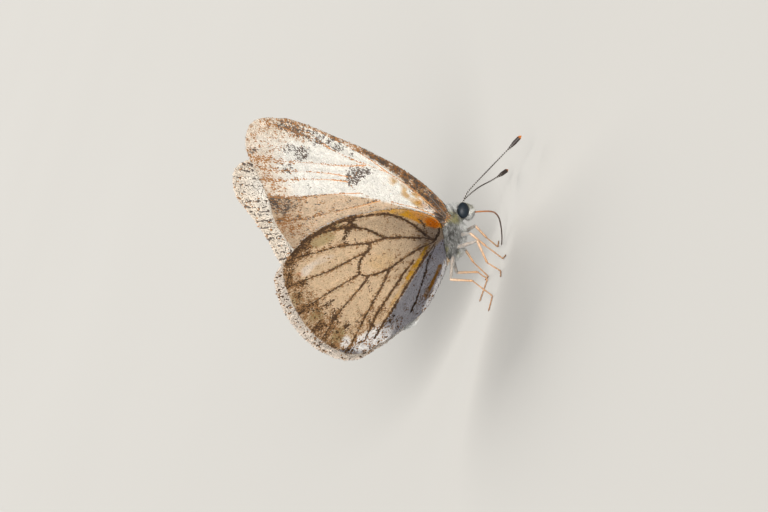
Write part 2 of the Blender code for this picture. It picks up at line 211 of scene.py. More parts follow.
BODY_SKIN_INSET = 0.30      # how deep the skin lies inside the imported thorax, under the hair
ABDOMEN_SKIN_INSET = 0.12
HEAD_SKIN_INSET = 0.24
SKIN_VOXEL = 0.07
THORAX_REAR = 1.9           # how far back the thorax's coat reaches
BREAST_TOP = 6.0            # the height where its breast ends and its back begins
ABDOMEN_FRONT = 2.4
BODY_HAIRS = 12000          # in each of the coat's four pieces
PALP_HIDDEN_TIP = 6         # points of a palp's curve past its core, where only the brush goes on
PALP_HAIRS = 900
THIGH_HAIRS = 480
SHIN_HAIRS = 260
EYE_FACETS = 3200
EYE_FILL = 0.985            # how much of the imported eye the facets' crowns reach
FACET_DEPTH = 0.022         # how far they sink a facet's width from the crown

BAKE_MAP = "OFBake"
CHART_MARGIN = 0.01
CHART_FACE = (0.495, 0.99)  # the share of the bake map that one face of a membrane takes
CHART_OTHER_FACE = (0.5, 0.0)       # where the second face starts
CHART_BODY = (7.0, 16.2)    # how far behind the origin the body's chart starts, and its length
FULL_TURN = 6.3             # a little over a full turn in radians
TUFT_PATCH = 0.003          # how wide one tuft or scale is on the bake map


def srgb(red, green, blue):
    """A display colour, 0 to 255, as the linear colour that shaders take."""
    channels = [c / 255 for c in (red, green, blue)]
    return (*[c / 12.92 if c <= 0.04045 else ((c + 0.055) / 1.055) ** 2.4 for c in channels], 1.0)


def eye_offset():
    """Where the butterfly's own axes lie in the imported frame, in metres."""
    low, high = (np.array(corner, float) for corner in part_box("eye_right"))
    return (low + high) / 2 - EYE_CENTRE * (1, -1, 1) * MM


OFFSET = eye_offset()


def to_world(points):
    """Points of the butterfly's own axes in the frame's metres."""
    return np.asarray(points, float) * MM + OFFSET


# ---------------------------------------------------------------- curves and noise

def spline(points, steps, closed=False):
    """Points of a Catmull-Rom curve through `points`, with `steps` to each span."""
    points = np.asarray(points, float)
    count = len(points)
    index = np.arange(count if closed else count - 1)[:, None] + np.arange(-1, 3)
    index = index % count if closed else np.clip(index, 0, count - 1)
    p0, p1, p2, p3 = (points[index[:, k]][:, None, :] for k in range(4))
    t = (np.arange(steps) / steps)[None, :, None]
    curve = 0.5 * (2 * p1 + (p2 - p0) * t + (2 * p0 - 5 * p1 + 4 * p2 - p3) * t ** 2
                   + (3 * p1 - p0 - 3 * p2 + p3) * t ** 3)
    curve = curve.reshape(-1, points.shape[1])
    return curve if closed else np.vstack([curve, points[-1]])


def resample(line, spacing, closed=False):
    """The polyline with points an even distance apart."""
    if closed:
        line = np.vstack([line, line[:1]])
    reach = np.concatenate([[0], np.cumsum(np.linalg.norm(np.diff(line, axis=0), axis=1))])
    count = max(int(round(reach[-1] / spacing)), 2)
    at = np.linspace(0, reach[-1], count + 1)
    even = np.stack([np.interp(at, reach, line[:, k]) for k in range(line.shape[1])], axis=-1)
    return even[:-1] if closed else even


def distance_to(points, line):
    """Each point's distance from a polyline."""
    start, step = line[:-1], np.diff(line, axis=0)
    best = np.full(len(points), np.inf)
    for origin, run in zip(start, step):
        share = np.clip((points - origin) @ run / max(run @ run, 1e-12), 0, 1)
        gap = points - origin - share[:, None] * run
        best = np.minimum(best, np.einsum("ij,ij->i", gap, gap))
    return np.sqrt(best)


def fade(value, full, none):
    """1 where the value has reached `full`, 0 at `none`, and smooth between them."""
    share = np.clip((value - none) / (full - none), 0, 1)
    return share * share * (3 - 2 * share)


NOISE_CELLS = 97        # after how many features the noise repeats
NOISE_SHIFT = 40        # which cell of it lies at the origin


def noise(points, size, seed):
    """Smooth noise from 0 to 1 in two dimensions, with features about `size` across."""
    lattice = np.random.default_rng(seed).random((NOISE_CELLS, NOISE_CELLS))
    place = np.asarray(points, float)[:, :2] / size + NOISE_SHIFT
    cell = np.floor(place).astype(int)
    share = fade(place - cell, 1, 0)
    corner = [lattice[(cell[:, 0] + i) % NOISE_CELLS, (cell[:, 1] + j) % NOISE_CELLS]
              for i in (0, 1) for j in (0, 1)]
    near = corner[0] * (1 - share[:, 1]) + corner[1] * share[:, 1]
    far = corner[2] * (1 - share[:, 1]) + corner[3] * share[:, 1]
    return near * (1 - share[:, 0]) + far * share[:, 0]


def unit(vectors):
    """Vectors at length 1."""
    return vectors / np.maximum(np.linalg.norm(vectors, axis=-1, keepdims=True), 1e-9)


def turned(first, second, angle):
    """Two square vectors turned in their plane, the first towards the second."""
    c, s = math.cos(angle), math.sin(angle)
    return first * c + second * s, second * c - first * s


def about(axis, turn, reference):
    """Unit vectors square to the axis, turned round it from one square to the reference too."""
    first = unit(np.cross(axis, reference))
    return first * np.cos(turn) + np.cross(axis, first) * np.sin(turn)


def splayed(heading, amount):
    """Two directions that open to either side of the heading."""
    side = unit(np.cross(heading, (0, 0, 1)))
    return [unit(heading + amount * hand * side) for hand in (-1, 1)]


def taken_along(share, values):
    """A list of values spread evenly from 0 to 1, read at each share."""
    return np.interp(share, np.linspace(0, 1, len(values)), values)


def on_chart(part, whole=1.0):
    """A share of the bake map's width, clear of its margins."""
    return CHART_MARGIN + (1 - 2 * CHART_MARGIN) * part / whole


def tree_of(points):
    """A search tree that finds the nearest of the points."""
    tree = KDTree(len(points))
    for i, point in enumerate(points):
        tree.insert(point, i)
    tree.balance()
    return tree


# ---------------------------------------------------------------- meshes and pieces

def new_object(name, data):
    """An object in the scene."""
    item = bpy.data.objects.new(name, data)
    bpy.context.scene.collection.objects.link(item)
    return item


def add_piece(name, mesh, finish, replaces=(), smooth=True):
    """A piece of the butterfly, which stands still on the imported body."""
    mesh.name = name
    mesh.materials.append(finish)
    if smooth:
        mesh.shade_smooth()
    item = new_object(name, mesh)
    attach(item, "root")
    if replaces:
        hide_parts(*replaces)
    return item


def mesh_from_triangles(points, triangles, values, bake):
    """A mesh of triangles from points in millimetres, with point attributes and a bake map."""
    mesh = bpy.data.meshes.new("piece")
    mesh.vertices.add(len(points))
    mesh.vertices.foreach_set("co", to_world(points).astype(np.float32).ravel())
    mesh.loops.add(triangles.size)
    mesh.loops.foreach_set("vertex_index", triangles.astype(np.int32).ravel())
    mesh.polygons.add(len(triangles))
    mesh.polygons.foreach_set("loop_start", np.arange(0, triangles.size, 3, dtype=np.int32))
    mesh.update(calc_edges=True)
    for key, value in values.items():
        write_attribute(mesh, key, value)
    chart = mesh.uv_layers.new(name=BAKE_MAP)
    chart.data.foreach_set("uv", bake[triangles.ravel()].astype(np.float32).ravel())
    return mesh


def mesh_of_many(points, patch, triangles, values):
    """A mesh of many small closed bodies alike.

    The k-th entries of `points` and `patch` hold the k-th point of every body, in space and on
    the bake map. Values are one for each body or, where they are a list, one for each k.
    """
    per_body, count = len(points), len(points[0])
    points = np.stack(points, axis=1).reshape(-1, 3)
    patch = np.stack(patch, axis=1).reshape(-1, 2)
    triangles = triangles[None] + per_body * np.arange(count)[:, None, None]
    values = {key: np.tile(value, count) if isinstance(value, list)
              else np.repeat(value, per_body, axis=0) for key, value in values.items()}
    return mesh_from_triangles(points, triangles.reshape(-1, 3), values, np.clip(patch, 0, 1))


def write_attribute(mesh, name, value):
    """A number or a vector for each of the mesh's points."""
    value = np.asarray(value, np.float32)
    kind, field = ("FLOAT", "value") if value.ndim == 1 else ("FLOAT_VECTOR", "vector")
    mesh.attributes.new(name, kind, "POINT").data.foreach_set(field, value.ravel())


class Shape:
    """Points in millimetres, faces and point attributes, gathered into one mesh."""

    def __init__(self):
        self.points, self.faces, self.values, self.count = [], [], {}, 0

    def add(self, points, faces, **values):
        self.points.append(points)
        self.faces += [tuple(int(i) + self.count for i in face) for face in faces]
        for key, value in values.items():
            self.values.setdefault(key, []).append(np.broadcast_to(value, len(points)))
        self.count += len(points)

    def mesh(self, placed=to_world):
        mesh = bpy.data.meshes.new("piece")
        mesh.from_pydata(placed(np.vstack(self.points)), [], self.faces)
        mesh.update()
        for key, value in self.values.items():
            write_attribute(mesh, key, np.concatenate(value))
        return mesh

    def piece(self, name, finish, slot, replaces=()):
        return add_piece(name, self.mesh(), finish, replaces)


def ring_faces(rings, sides):
    """Quads between rings of points that follow each other, and a cap at either end."""
    faces = []
    for i in range(rings - 1):
        for k in range(sides):
            a, b = i * sides + k, i * sides + (k + 1) % sides
            faces.append((a, b, b + sides, a + sides))
    last = (rings - 1) * sides
    return [*faces, tuple(reversed(range(sides))), tuple(range(last, last + sides))]


def tube(path, radii, sides, flatten=1.0):
    """A closed round tube along the path, or an oval one where flatten isn't 1."""
    path = np.asarray(path, float)
    radii = np.broadcast_to(radii, len(path))
    forward = unit(np.gradient(path, axis=0))
    normal = unit(np.cross(forward[0], (0.3, 1.0, 0.2)))
    angle = np.arange(sides) * 2 * math.pi / sides
    rings = []
    for place, ahead, radius in zip(path, forward, radii):
        normal = unit(normal - ahead * (normal @ ahead))
        other = np.cross(ahead, normal)
        rings.append(place + radius * (np.outer(np.cos(angle), normal)
                                       + flatten * np.outer(np.sin(angle), other)))
    return np.vstack(rings), ring_faces(len(path), sides)


# Hair: closed tapering blades. Two rings of three points, as shares of its length and radius,
# and the tip.
HAIR_RINGS = ((0.0, 1.0), (0.5, 0.75))
HAIR_TRIANGLES = np.array([(2, 1, 0), (0, 1, 4), (0, 4, 3), (1, 2, 5), (1, 5, 4), (2, 0, 3),
                           (2, 3, 5), (3, 4, 6), (4, 5, 6), (5, 3, 6)])


def lock_leaders(roots, per_lock):
    """For each hair, the hair that leads the lock it belongs to: the nearest of a few."""
    leaders = tree_of(roots[:max(len(roots) // per_lock, 1)])
    return np.array([leaders.find(root)[1] for root in roots])


def add_hairs(name, finish, places, form, values, leader=None, pull=0.0):
    """A piece of many blades.

    places: their roots, the surface's normals, where they lean, and their bake places.
    form: their length, radius, the angle by which they rise, and how far they curve down.
    Their tips are drawn by `pull` towards that of the hair that leads their lock.
    """
    roots, normals, lay, chart = places
    lay = unit(lay - normals * np.einsum("ij,ij->i", lay, normals)[:, None])
    side = np.cross(normals, lay)
    length, radius, lift, bend = (np.broadcast_to(v, len(roots))[:, None] for v in form)
    points, patch, along = [], [], []
    for share, width in [*HAIR_RINGS, (1.0, 0.0)]:
        rise = np.sin(lift) * share - bend * share ** 2
        centre = roots + length * (lay * np.cos(lift) * share + normals * rise)
        if leader is not None:
            centre = centre + pull * share ** 1.5 * (centre[leader] - centre)
        turns = [0.0] if width == 0 else [k * 2 * math.pi / 3 for k in range(3)]
        for turn in turns:
            points.append(centre + radius * width * (side * math.cos(turn)
                                                     + normals * math.sin(turn)))
            patch.append(chart + TUFT_PATCH * (np.array((share, math.cos(turn) * width / 2)) - 0.5))
            along.append(share)
    mesh = mesh_of_many(points, patch, HAIR_TRIANGLES, {**values, "along": along})
    add_piece(name, mesh, finish)


# ---------------------------------------------------------------- materials

def add_node(tree, kind, inputs=None, **settings):
    """A node with its settings made and its inputs set or linked."""
    node = tree.nodes.new(kind)
    for key, value in settings.items():
        setattr(node, key, value)
    for key, value in (inputs or {}).items():
        if isinstance(value, bpy.types.NodeSocket):
            tree.links.new(value, node.inputs[key])
        else:
            node.inputs[key].default_value = value
    return node


def attribute(tree, name, output="Fac"):
    """A point attribute of the mesh."""
    return add_node(tree, "ShaderNodeAttribute", attribute_name=name).outputs[output]


def mix(tree, share, first, second, blend="MIX"):
    """Two colours mixed, through the Mix node's sockets for colours."""
    return add_node(tree, "ShaderNodeMix", {0: share, 6: first, 7: second},
                    data_type="RGBA", blend_type=blend).outputs[2]


def tinted(tree, colour, tints):
    """The colour under several tints, each as strong as the point attribute it is named for."""
    for name, tint in tints.items():
        colour = mix(tree, attribute(tree, name), colour, tint)
    return colour


def calc(tree, operation, first, second):
    """One step of arithmetic."""
    return add_node(tree, "ShaderNodeMath", {0: first, 1: second}, operation=operation).outputs[0]


def spread(tree, value, low, high, new_low, new_high):
    """A value moved from one range to another."""
    node = add_node(tree, "ShaderNodeMapRange", {"Value": value, "From Min": low,
                    "From Max": high, "To Min": new_low, "To Max": new_high})
    return node.outputs[0]


def grain(tree, scale, detail=3.0, vector=None):
    """Fine noise, in features to the metre or, with a vector, in its own units."""
    vector = vector or add_node(tree, "ShaderNodeTexCoord").outputs["Object"]
    return add_node(tree, "ShaderNodeTexNoise", {"Vector": vector, "Scale": scale,
                    "Detail": detail, "Roughness": 0.6}).outputs["Fac"]


def new_finish(name, roughness, specular=0.4, sheen=0.0):
    """A material with a plain shader to be fed by nodes."""
    material = bpy.data.materials.new(name)
    material.use_nodes = True
    shader = material.node_tree.nodes["Principled BSDF"]
    shader.inputs["Roughness"].default_value = roughness
    shader.inputs["Specular IOR Level"].default_value = specular
    shader.inputs["Sheen Weight"].default_value = sheen
    return material, material.node_tree, shader


def colour_from(tree, shader, colour, bump=None, depth=0.0, strength=0.4):
    """Links the colour, and a height as bump."""
    tree.links.new(colour, shader.inputs["Base Color"])
    if bump is not None:
        node = add_node(tree, "ShaderNodeBump", {"Height": bump, "Distance": depth * MM,
                                                 "Strength": strength})
        tree.links.new(node.outputs["Normal"], shader.inputs["Normal"])


def let_light_through(material, colour, share):
    """Mixes in the light that shines through a thin wing."""
    tree = material.node_tree
    shader = tree.nodes["Principled BSDF"]
    output = tree.nodes["Material Output"]
    glow = add_node(tree, "ShaderNodeBsdfTranslucent", {"Color": colour})
    both = add_node(tree, "ShaderNodeMixShader", {0: share, 1: shader.outputs[0],
                                                  2: glow.outputs[0]})
    tree.links.new(both.outputs[0], output.inputs["Surface"])


# Wing colours. The tan tint is both the wings' own tan and painted shade: it darkens the fore wing's
# rear part and much of the hind wing's ground as shade. The shadow tint is painted shade.
WING_COLOURS = {
    "fore": {"white": srgb(255, 251, 243), "tan": srgb(233, 206, 175),
             "dark": srgb(122, 110, 101), "brown": srgb(192, 140, 92),
             "shadow": srgb(150, 134, 120)},
    "hind": {"white": srgb(244, 240, 237), "tan": srgb(216, 188, 154),
             "dark": srgb(86, 64, 46), "brown": srgb(164, 124, 84),
             "shadow": srgb(108, 108, 118)},
}
YELLOW = srgb(212, 158, 44)
OLIVE = srgb(146, 130, 76)
ORANGE = srgb(190, 98, 0)
WING_LIGHT_THROUGH = 0.22


def wing_finish(kind, loose):
    """The wing's colours: scattered dark and brown scales over white, tan, yellow and orange; the tan
    is partly painted shade, and the shadow tint multiplied over them is painted shade.

    Loose scales carry their own random number; the membrane takes it from small cells.
    """
    material, tree, shader = new_finish(f"{kind}_wing_{'scales' if loose else 'membrane'}",
                                        roughness=0.68, specular=0.10)
    colours = WING_COLOURS[kind]
    flat = attribute(tree, "flat", "Vector")
    if loose:
        roll, tone = attribute(tree, "roll"), attribute(tree, "tone")
    else:
        cells = add_node(tree, "ShaderNodeTexVoronoi", {"Vector": flat, "Scale": 7.5})
        parts = add_node(tree, "ShaderNodeSeparateColor", {0: cells.outputs["Color"]})
        roll, tone = parts.outputs[0], parts.outputs[1]
    ground = tinted(tree, colours["white"], {"tan": colours["tan"], "olive": OLIVE,
                                             "yellow": YELLOW, "orange": ORANGE})
    dark = calc(tree, "LESS_THAN", roll, attribute(tree, "dark"))
    edge = calc(tree, "ADD", attribute(tree, "dark"), attribute(tree, "brown"))
    brown = calc(tree, "LESS_THAN", roll, edge)
    colour = mix(tree, brown, ground, colours["brown"])
    colour = mix(tree, dark, colour, colours["dark"])
    cloud = grain(tree, 1.8, 4.0, flat)
    shade = calc(tree, "MULTIPLY", spread(tree, tone, 0, 1, 0.87, 1.08),
                 spread(tree, cloud, 0.3, 0.7, 0.86, 1.10))
    grey = add_node(tree, "ShaderNodeCombineColor", {0: shade, 1: shade, 2: shade}).outputs[0]
    colour = mix(tree, 1.0, colour, grey, "MULTIPLY")
    colour = mix(tree, attribute(tree, "shade"), colour, colours["shadow"], "MULTIPLY")
    striae = add_node(tree, "ShaderNodeTexWave", {"Vector": flat, "Scale": 9.0,
                      "Distortion": 3.0, "Detail": 2.0}, bands_direction="Y").outputs["Fac"]
    colour_from(tree, shader, colour, striae, 0.012, 0.35)
    let_light_through(material, colour, WING_LIGHT_THROUGH)
    return material


def hair_finish():
    """Body hair: from grey to white, olive or yellow in places, darker at the roots."""
    material, tree, shader = new_finish("body_hair", roughness=0.8, specular=0.08, sheen=0.05)
    colour = tinted(tree, srgb(42, 40, 36), {
        "tone": srgb(242, 242, 239), "warm": srgb(146, 138, 76), "stripe": srgb(206, 148, 44),
        "dark": srgb(24, 21, 20)})
    root = spread(tree, attribute(tree, "along"), 0.0, 0.6, 0.45, 0.0)
    colour = mix(tree, root, colour, srgb(56, 54, 50))
    colour = mix(tree, spread(tree, grain(tree, 9000), 0.35, 0.65, 0.0, 0.2), colour,
                 srgb(104, 102, 94))
    colour_from(tree, shader, colour, grain(tree, 30000), 0.004)
    return material


def skin_finish():
    """Grey skin under the coat, with fine down, the yellow line and the dark joints."""
    material, tree, shader = new_finish("skin", roughness=0.85, specular=0.2, sheen=0.15)
    cloud = grain(tree, 2500, 5.0)
    colour = mix(tree, cloud, srgb(66, 64, 60), srgb(108, 106, 100))
    colour = tinted(tree, colour, {"warm": srgb(206, 160, 60), "dark": srgb(26, 23, 22)})
    colour_from(tree, shader, colour, grain(tree, 14000, 2.0), 0.03)
    return material


def eye_finish():
    """Dark blue-grey facets with darker flecks."""
    material, tree, shader = new_finish("eye", roughness=0.45, specular=0.18)
    flecks = spread(tree, grain(tree, 5200, 4.0), 0.42, 0.66, 0.0, 0.8)
    colour = mix(tree, flecks, srgb(23, 30, 37), srgb(9, 12, 16))
    colour = tinted(tree, colour, {"rim": srgb(7, 9, 12)})
    facets = add_node(tree, "ShaderNodeTexVoronoi", {"Scale": 24000.0,
                      "Vector": add_node(tree, "ShaderNodeTexCoord").outputs["Object"]})
    colour_from(tree, shader, colour, facets.outputs["Distance"], -0.01, 0.3)
    return material


def horn_finish(name, base, tip, roughness=0.4):
    """Horny parts that change colour along their length, with pale rings or stretches."""
    material, tree, shader = new_finish(name, roughness=roughness, specular=0.3)
    colour = tinted(tree, base, {"reach": tip, "pale": srgb(226, 222, 212)})
    cloud = spread(tree, grain(tree, 6000, 4.0), 0.35, 0.65, 0.0, 0.5)
    colour = mix(tree, cloud, colour, srgb(40, 28, 20))
    colour_from(tree, shader, colour, grain(tree, 26000, 2.0), 0.008)
    return material


def floor_finish():
    """The pale studio floor."""
    material, tree, shader = new_finish("studio_floor", roughness=0.9, specular=0.1)
    colour = mix(tree, grain(tree, 3.0, 2.0), srgb(178, 176, 172), srgb(184, 182, 178))
    colour_from(tree, shader, colour)
    return material


# ---------------------------------------------------------------- wings

class Wing:
    """One wing: its outline and veins in flat coordinates, and its place in space."""

    def __init__(self, kind, spec, side_name):
        self.kind, self.side_name, self.spec = kind, side_name, spec
        side = SIDES[side_name]
        self.hinge = np.array(spec["hinge"]) * (1, side, 1)
        sweep, lean, twist = (math.radians(a) for a in
                              (spec["sweep"][side_name], spec["lean"], spec["twist"]))
        outward = np.array((0.0, side, 0.0))
        along = np.array((math.cos(sweep), 0, math.sin(sweep)))
        across = np.array((math.sin(sweep), 0, -math.cos(sweep)))
        self.along, outward = turned(along, outward, lean)
        self.across, self.outward = turned(across, outward, twist)
        self.hub = np.array(spec["hub"])
        self.edge = spline(spec["outline"], OUTLINE_STEPS, closed=True)
        self.low, self.high = self.edge.min(axis=0), self.edge.max(axis=0)
        self.front_edge, self.outer_edge = (
            self.edge[OUTLINE_STEPS * first:OUTLINE_STEPS * last + 1]
            for first, last in (spec["front_edge"], spec["outer_edge"]))
        spokes = self.edge - self.hub
        angles = np.arctan2(spokes[:, 1], spokes[:, 0])
        order = np.argsort(angles)
        self.spoke_angle = angles[order]
        self.spoke_length = np.linalg.norm(spokes, axis=1)[order]
        self.veins = {name: resample(spline(points, 12), VEIN_GRID)
                      for name, points in spec["veins"].items()}

    def share(self, flat):
        """How far each point lies from the hub towards the outline: 1 on the outline."""
        spokes = flat - self.hub
        angle = np.arctan2(spokes[:, 1], spokes[:, 0])
        edge = np.interp(angle, self.spoke_angle, self.spoke_length, period=2 * math.pi)
        return np.linalg.norm(spokes, axis=1) / edge

    def vein_distance(self, flat):
        """Each point's distance from the nearest vein."""
        return np.min([distance_to(flat, line[::3]) for line in self.veins.values()], axis=0)

    def chart(self, flat):
        """The flat wing laid over the bake map."""
        return on_chart(flat - self.low, self.high - self.low)

    def relief(self, flat):
        """How the membrane rises and falls: pleats between veins, and waves towards the tip."""
        pleat = -PLEAT_DEPTH * (1 - np.exp(-(self.vein_distance(flat) / PLEAT_WIDTH) ** 2))
        wave = WAVE_DEPTH * (noise(flat, WAVE_LENGTH, 5) - 0.5) * fade(flat[:, 0], 12.0, 2.0)
        return pleat + wave

    def place(self, flat, height=0.0, relief=None):
        """Points in space for flat ones, raised outward by `height`."""
        relief = self.relief(flat) if relief is None else relief
        bulge = self.spec["camber"] * (1 - np.minimum(self.share(flat), 1) ** 2)
        lift = bulge + relief + height
        return (self.hinge + np.outer(flat[:, 0], self.along)
                + np.outer(flat[:, 1], self.across) + np.outer(lift, self.outward))

    def worn_edge(self, spacing):
        """The outline with shallow scallops between the veins, and small nicks."""
        edge = resample(self.edge, spacing, closed=True)
        ends = np.array([line[-1] for line in self.veins.values()])
        gap = np.min(np.linalg.norm(edge[:, None] - ends[None], axis=2), axis=1)
        outer = fade(distance_to(edge, self.outer_edge), 0.05, 0.6)
        nicks = fade(noise(edge, 0.7, 3), 1.0, 0.55)
        depth = outer * (SCALLOP_DEPTH * fade(gap, 1.1, 0.1) + NICK_DEPTH * nicks)
        return edge - unit(edge - self.hub) * depth[:, None]


def blob(flat, centre, semi_axes, turn=0.0, strength=1.0, seed=0):
    """A soft patch: an ellipse with an uneven edge."""
    c, s = math.cos(math.radians(turn)), math.sin(math.radians(turn))
    x, y = (flat - centre).T
    reach = np.hypot((c * x + s * y) / semi_axes[0], (c * y - s * x) / semi_axes[1])
    return strength * fade(reach + 0.7 * (noise(flat, 0.9, 11 + seed) - 0.5), 0.55, 1.25)


def band(flat, points, width, strength=1.0, seed=0):
    """A soft stripe along a curve."""
    reach = distance_to(flat, spline(points, 6)) / width
    return strength * fade(reach + 0.6 * (noise(flat, 0.8, 31 + seed) - 0.5), 0.4, 1.15)


def below(flat, points, softness):
    """1 behind the line through the points (towards the rear edge), 0 before it."""
    return fade(np.interp(flat[:, 0], *zip(*points)) - flat[:, 1], softness, -softness)


def patches(flat, blobs):
    """Several blobs laid over each other."""
    clear = np.ones(len(flat))
    for seed, (centre, semi_axes, turn, strength) in enumerate(blobs):
        clear *= 1 - blob(flat, centre, semi_axes, turn, strength, seed)
    return 1 - clear


def over(*masks):
    """Densities laid over each other."""
    clear = 1.0
    for mask in masks:
        clear = clear * (1 - np.clip(mask, 0, 1))
    return 1 - clear


def fore_underside(wing, flat):
    """White, with painted shade in tan over the rear part; grey patches, brown-dusted front and outer
    edges.
    """
    u = flat[:, 0]
    vein = wing.vein_distance(flat)
    outer = distance_to(flat, wing.outer_edge)
    front = distance_to(flat, wing.front_edge)
    uneven = noise(flat, 1.3, 2)
    # Painted shade: behind this line the wing is tinted tan, its veins darkened and the shadow tint
    # laid on, as the shade of the wings behind it.
    tan = below(flat, [(2.7, -0.5), (5.2, -1.0), (8.3, -1.66), (10.6, -2.4), (13.0, -3.4),
                       (15.5, -4.9), (18.5, -6.7)], 0.10)
    dust_width = np.interp(u, (0, 4, 6, 8, 11, 13, 17, 22),
                           (1.6, 1.4, 1.15, 0.95, 0.62, 0.40, 0.28, 0.30))
    dust = fade(front / dust_width + 0.3 * (uneven - 0.5), 0.6, 1.15)
    dust = dust * (0.55 + 0.9 * noise(flat, 0.45, 19))
    deep = fade(np.abs(u - 5.5), 4.5, 7.5) * fade(front, 1.0, 1.3)
    spots = patches(flat, [
        ((10.8, -0.15), (1.25, 1.0), -40, 0.64), ((9.7, 1.15), (0.9, 0.5), -50, 0.45),
        ((17.5, -0.35), (2.0, 0.8), -6, 0.54), ((17.9, -2.7), (1.1, 0.5), -10, 0.20),
        ((15.2, -3.4), (0.8, 0.5), -20, 0.16), ((22.1, -2.3), (0.6, 0.5), 0, 0.40),
        ((16.7, -6.6), (1.8, 0.95), -22, 0.60), ((20.4, 1.5), (1.6, 0.6), -14, 0.14),
        ((13.0, 2.1), (1.5, 0.4), -4, 0.22), ((0.15, -0.1), (0.75, 0.5), 20, 0.95)])
    smear = band(flat, [(14.0, 2.3), (16.4, 1.95), (18.3, 1.8), (20.6, 1.6)], 0.80, 0.36)
    border = fade(outer + 2.2 * (uneven - 0.5), 0.4, 4.8) * (1 - 0.6 * tan)
    streak = fade(vein, 0.16, 0.40) * fade(outer, 1.5, 6.0) * fade(-front, -1.4, -0.6)
    line = fade(vein, 0.03, 0.10)
    gold = fade(noise(flat, 0.5, 13), 0.75, 0.30)
    cell = fade(np.abs(u - 4.6), 1.8, 3.4) * fade(distance_to(
        flat, np.array([(2.6, 0.6), (5.0, 0.6), (7.4, 1.2)])), 0.4, 0.9)
    return {
        "tan": over(0.97 * tan, 0.54 * border, 0.5 * dust),
        "dark": over(spots, smear, 0.34 * dust * deep, 0.18 * dust * fade(u, 8.0, 13.0),
                     0.20 * fade(u, 1.0, 4.0), 0.30 * line * tan, 0.03 * tan),
        "brown": over(0.42 * dust, 0.26 * border, 0.36 * streak * (1 - 0.6 * tan), 0.40 * line,
                      0.7 * fade(outer, 0.05, 0.14), 0.06 * tan,
                      patches(flat, [((15.4, -8.3), (1.6, 1.1), -40, 0.35)])),
        "yellow": over(0.72 * gold * cell, 0.38 * dust * fade(u, 6.0, 10.0),
                       patches(flat, [((3.3, 0.2), (1.3, 0.35), 8, 0.6),
                                      ((2.6, 1.2), (1.2, 0.4), 25, 0.6)])),
        "orange": patches(flat, [((0.9, 0.6), (1.5, 0.5), 28, 0.25),
                                 ((2.4, 0.3), (0.9, 0.3), 10, 0.30)]),
        "olive": 0.12 * blob(flat, (19.5, 1.4), (2.6, 0.9), -14),
        # Painted shade over the rear part; the same tint also darkens the dust and the dark mark at
        # the wing's root.
        "shade": over(0.34 * tan * fade(outer, 0.6, 5.0), 0.08 * tan, 0.34 * dust * deep,
                      0.25 * dust * fade(u, 8.0, 13.0),
                      blob(flat, (0.1, -0.1), (0.6, 0.4), 20, 0.9)),
    }


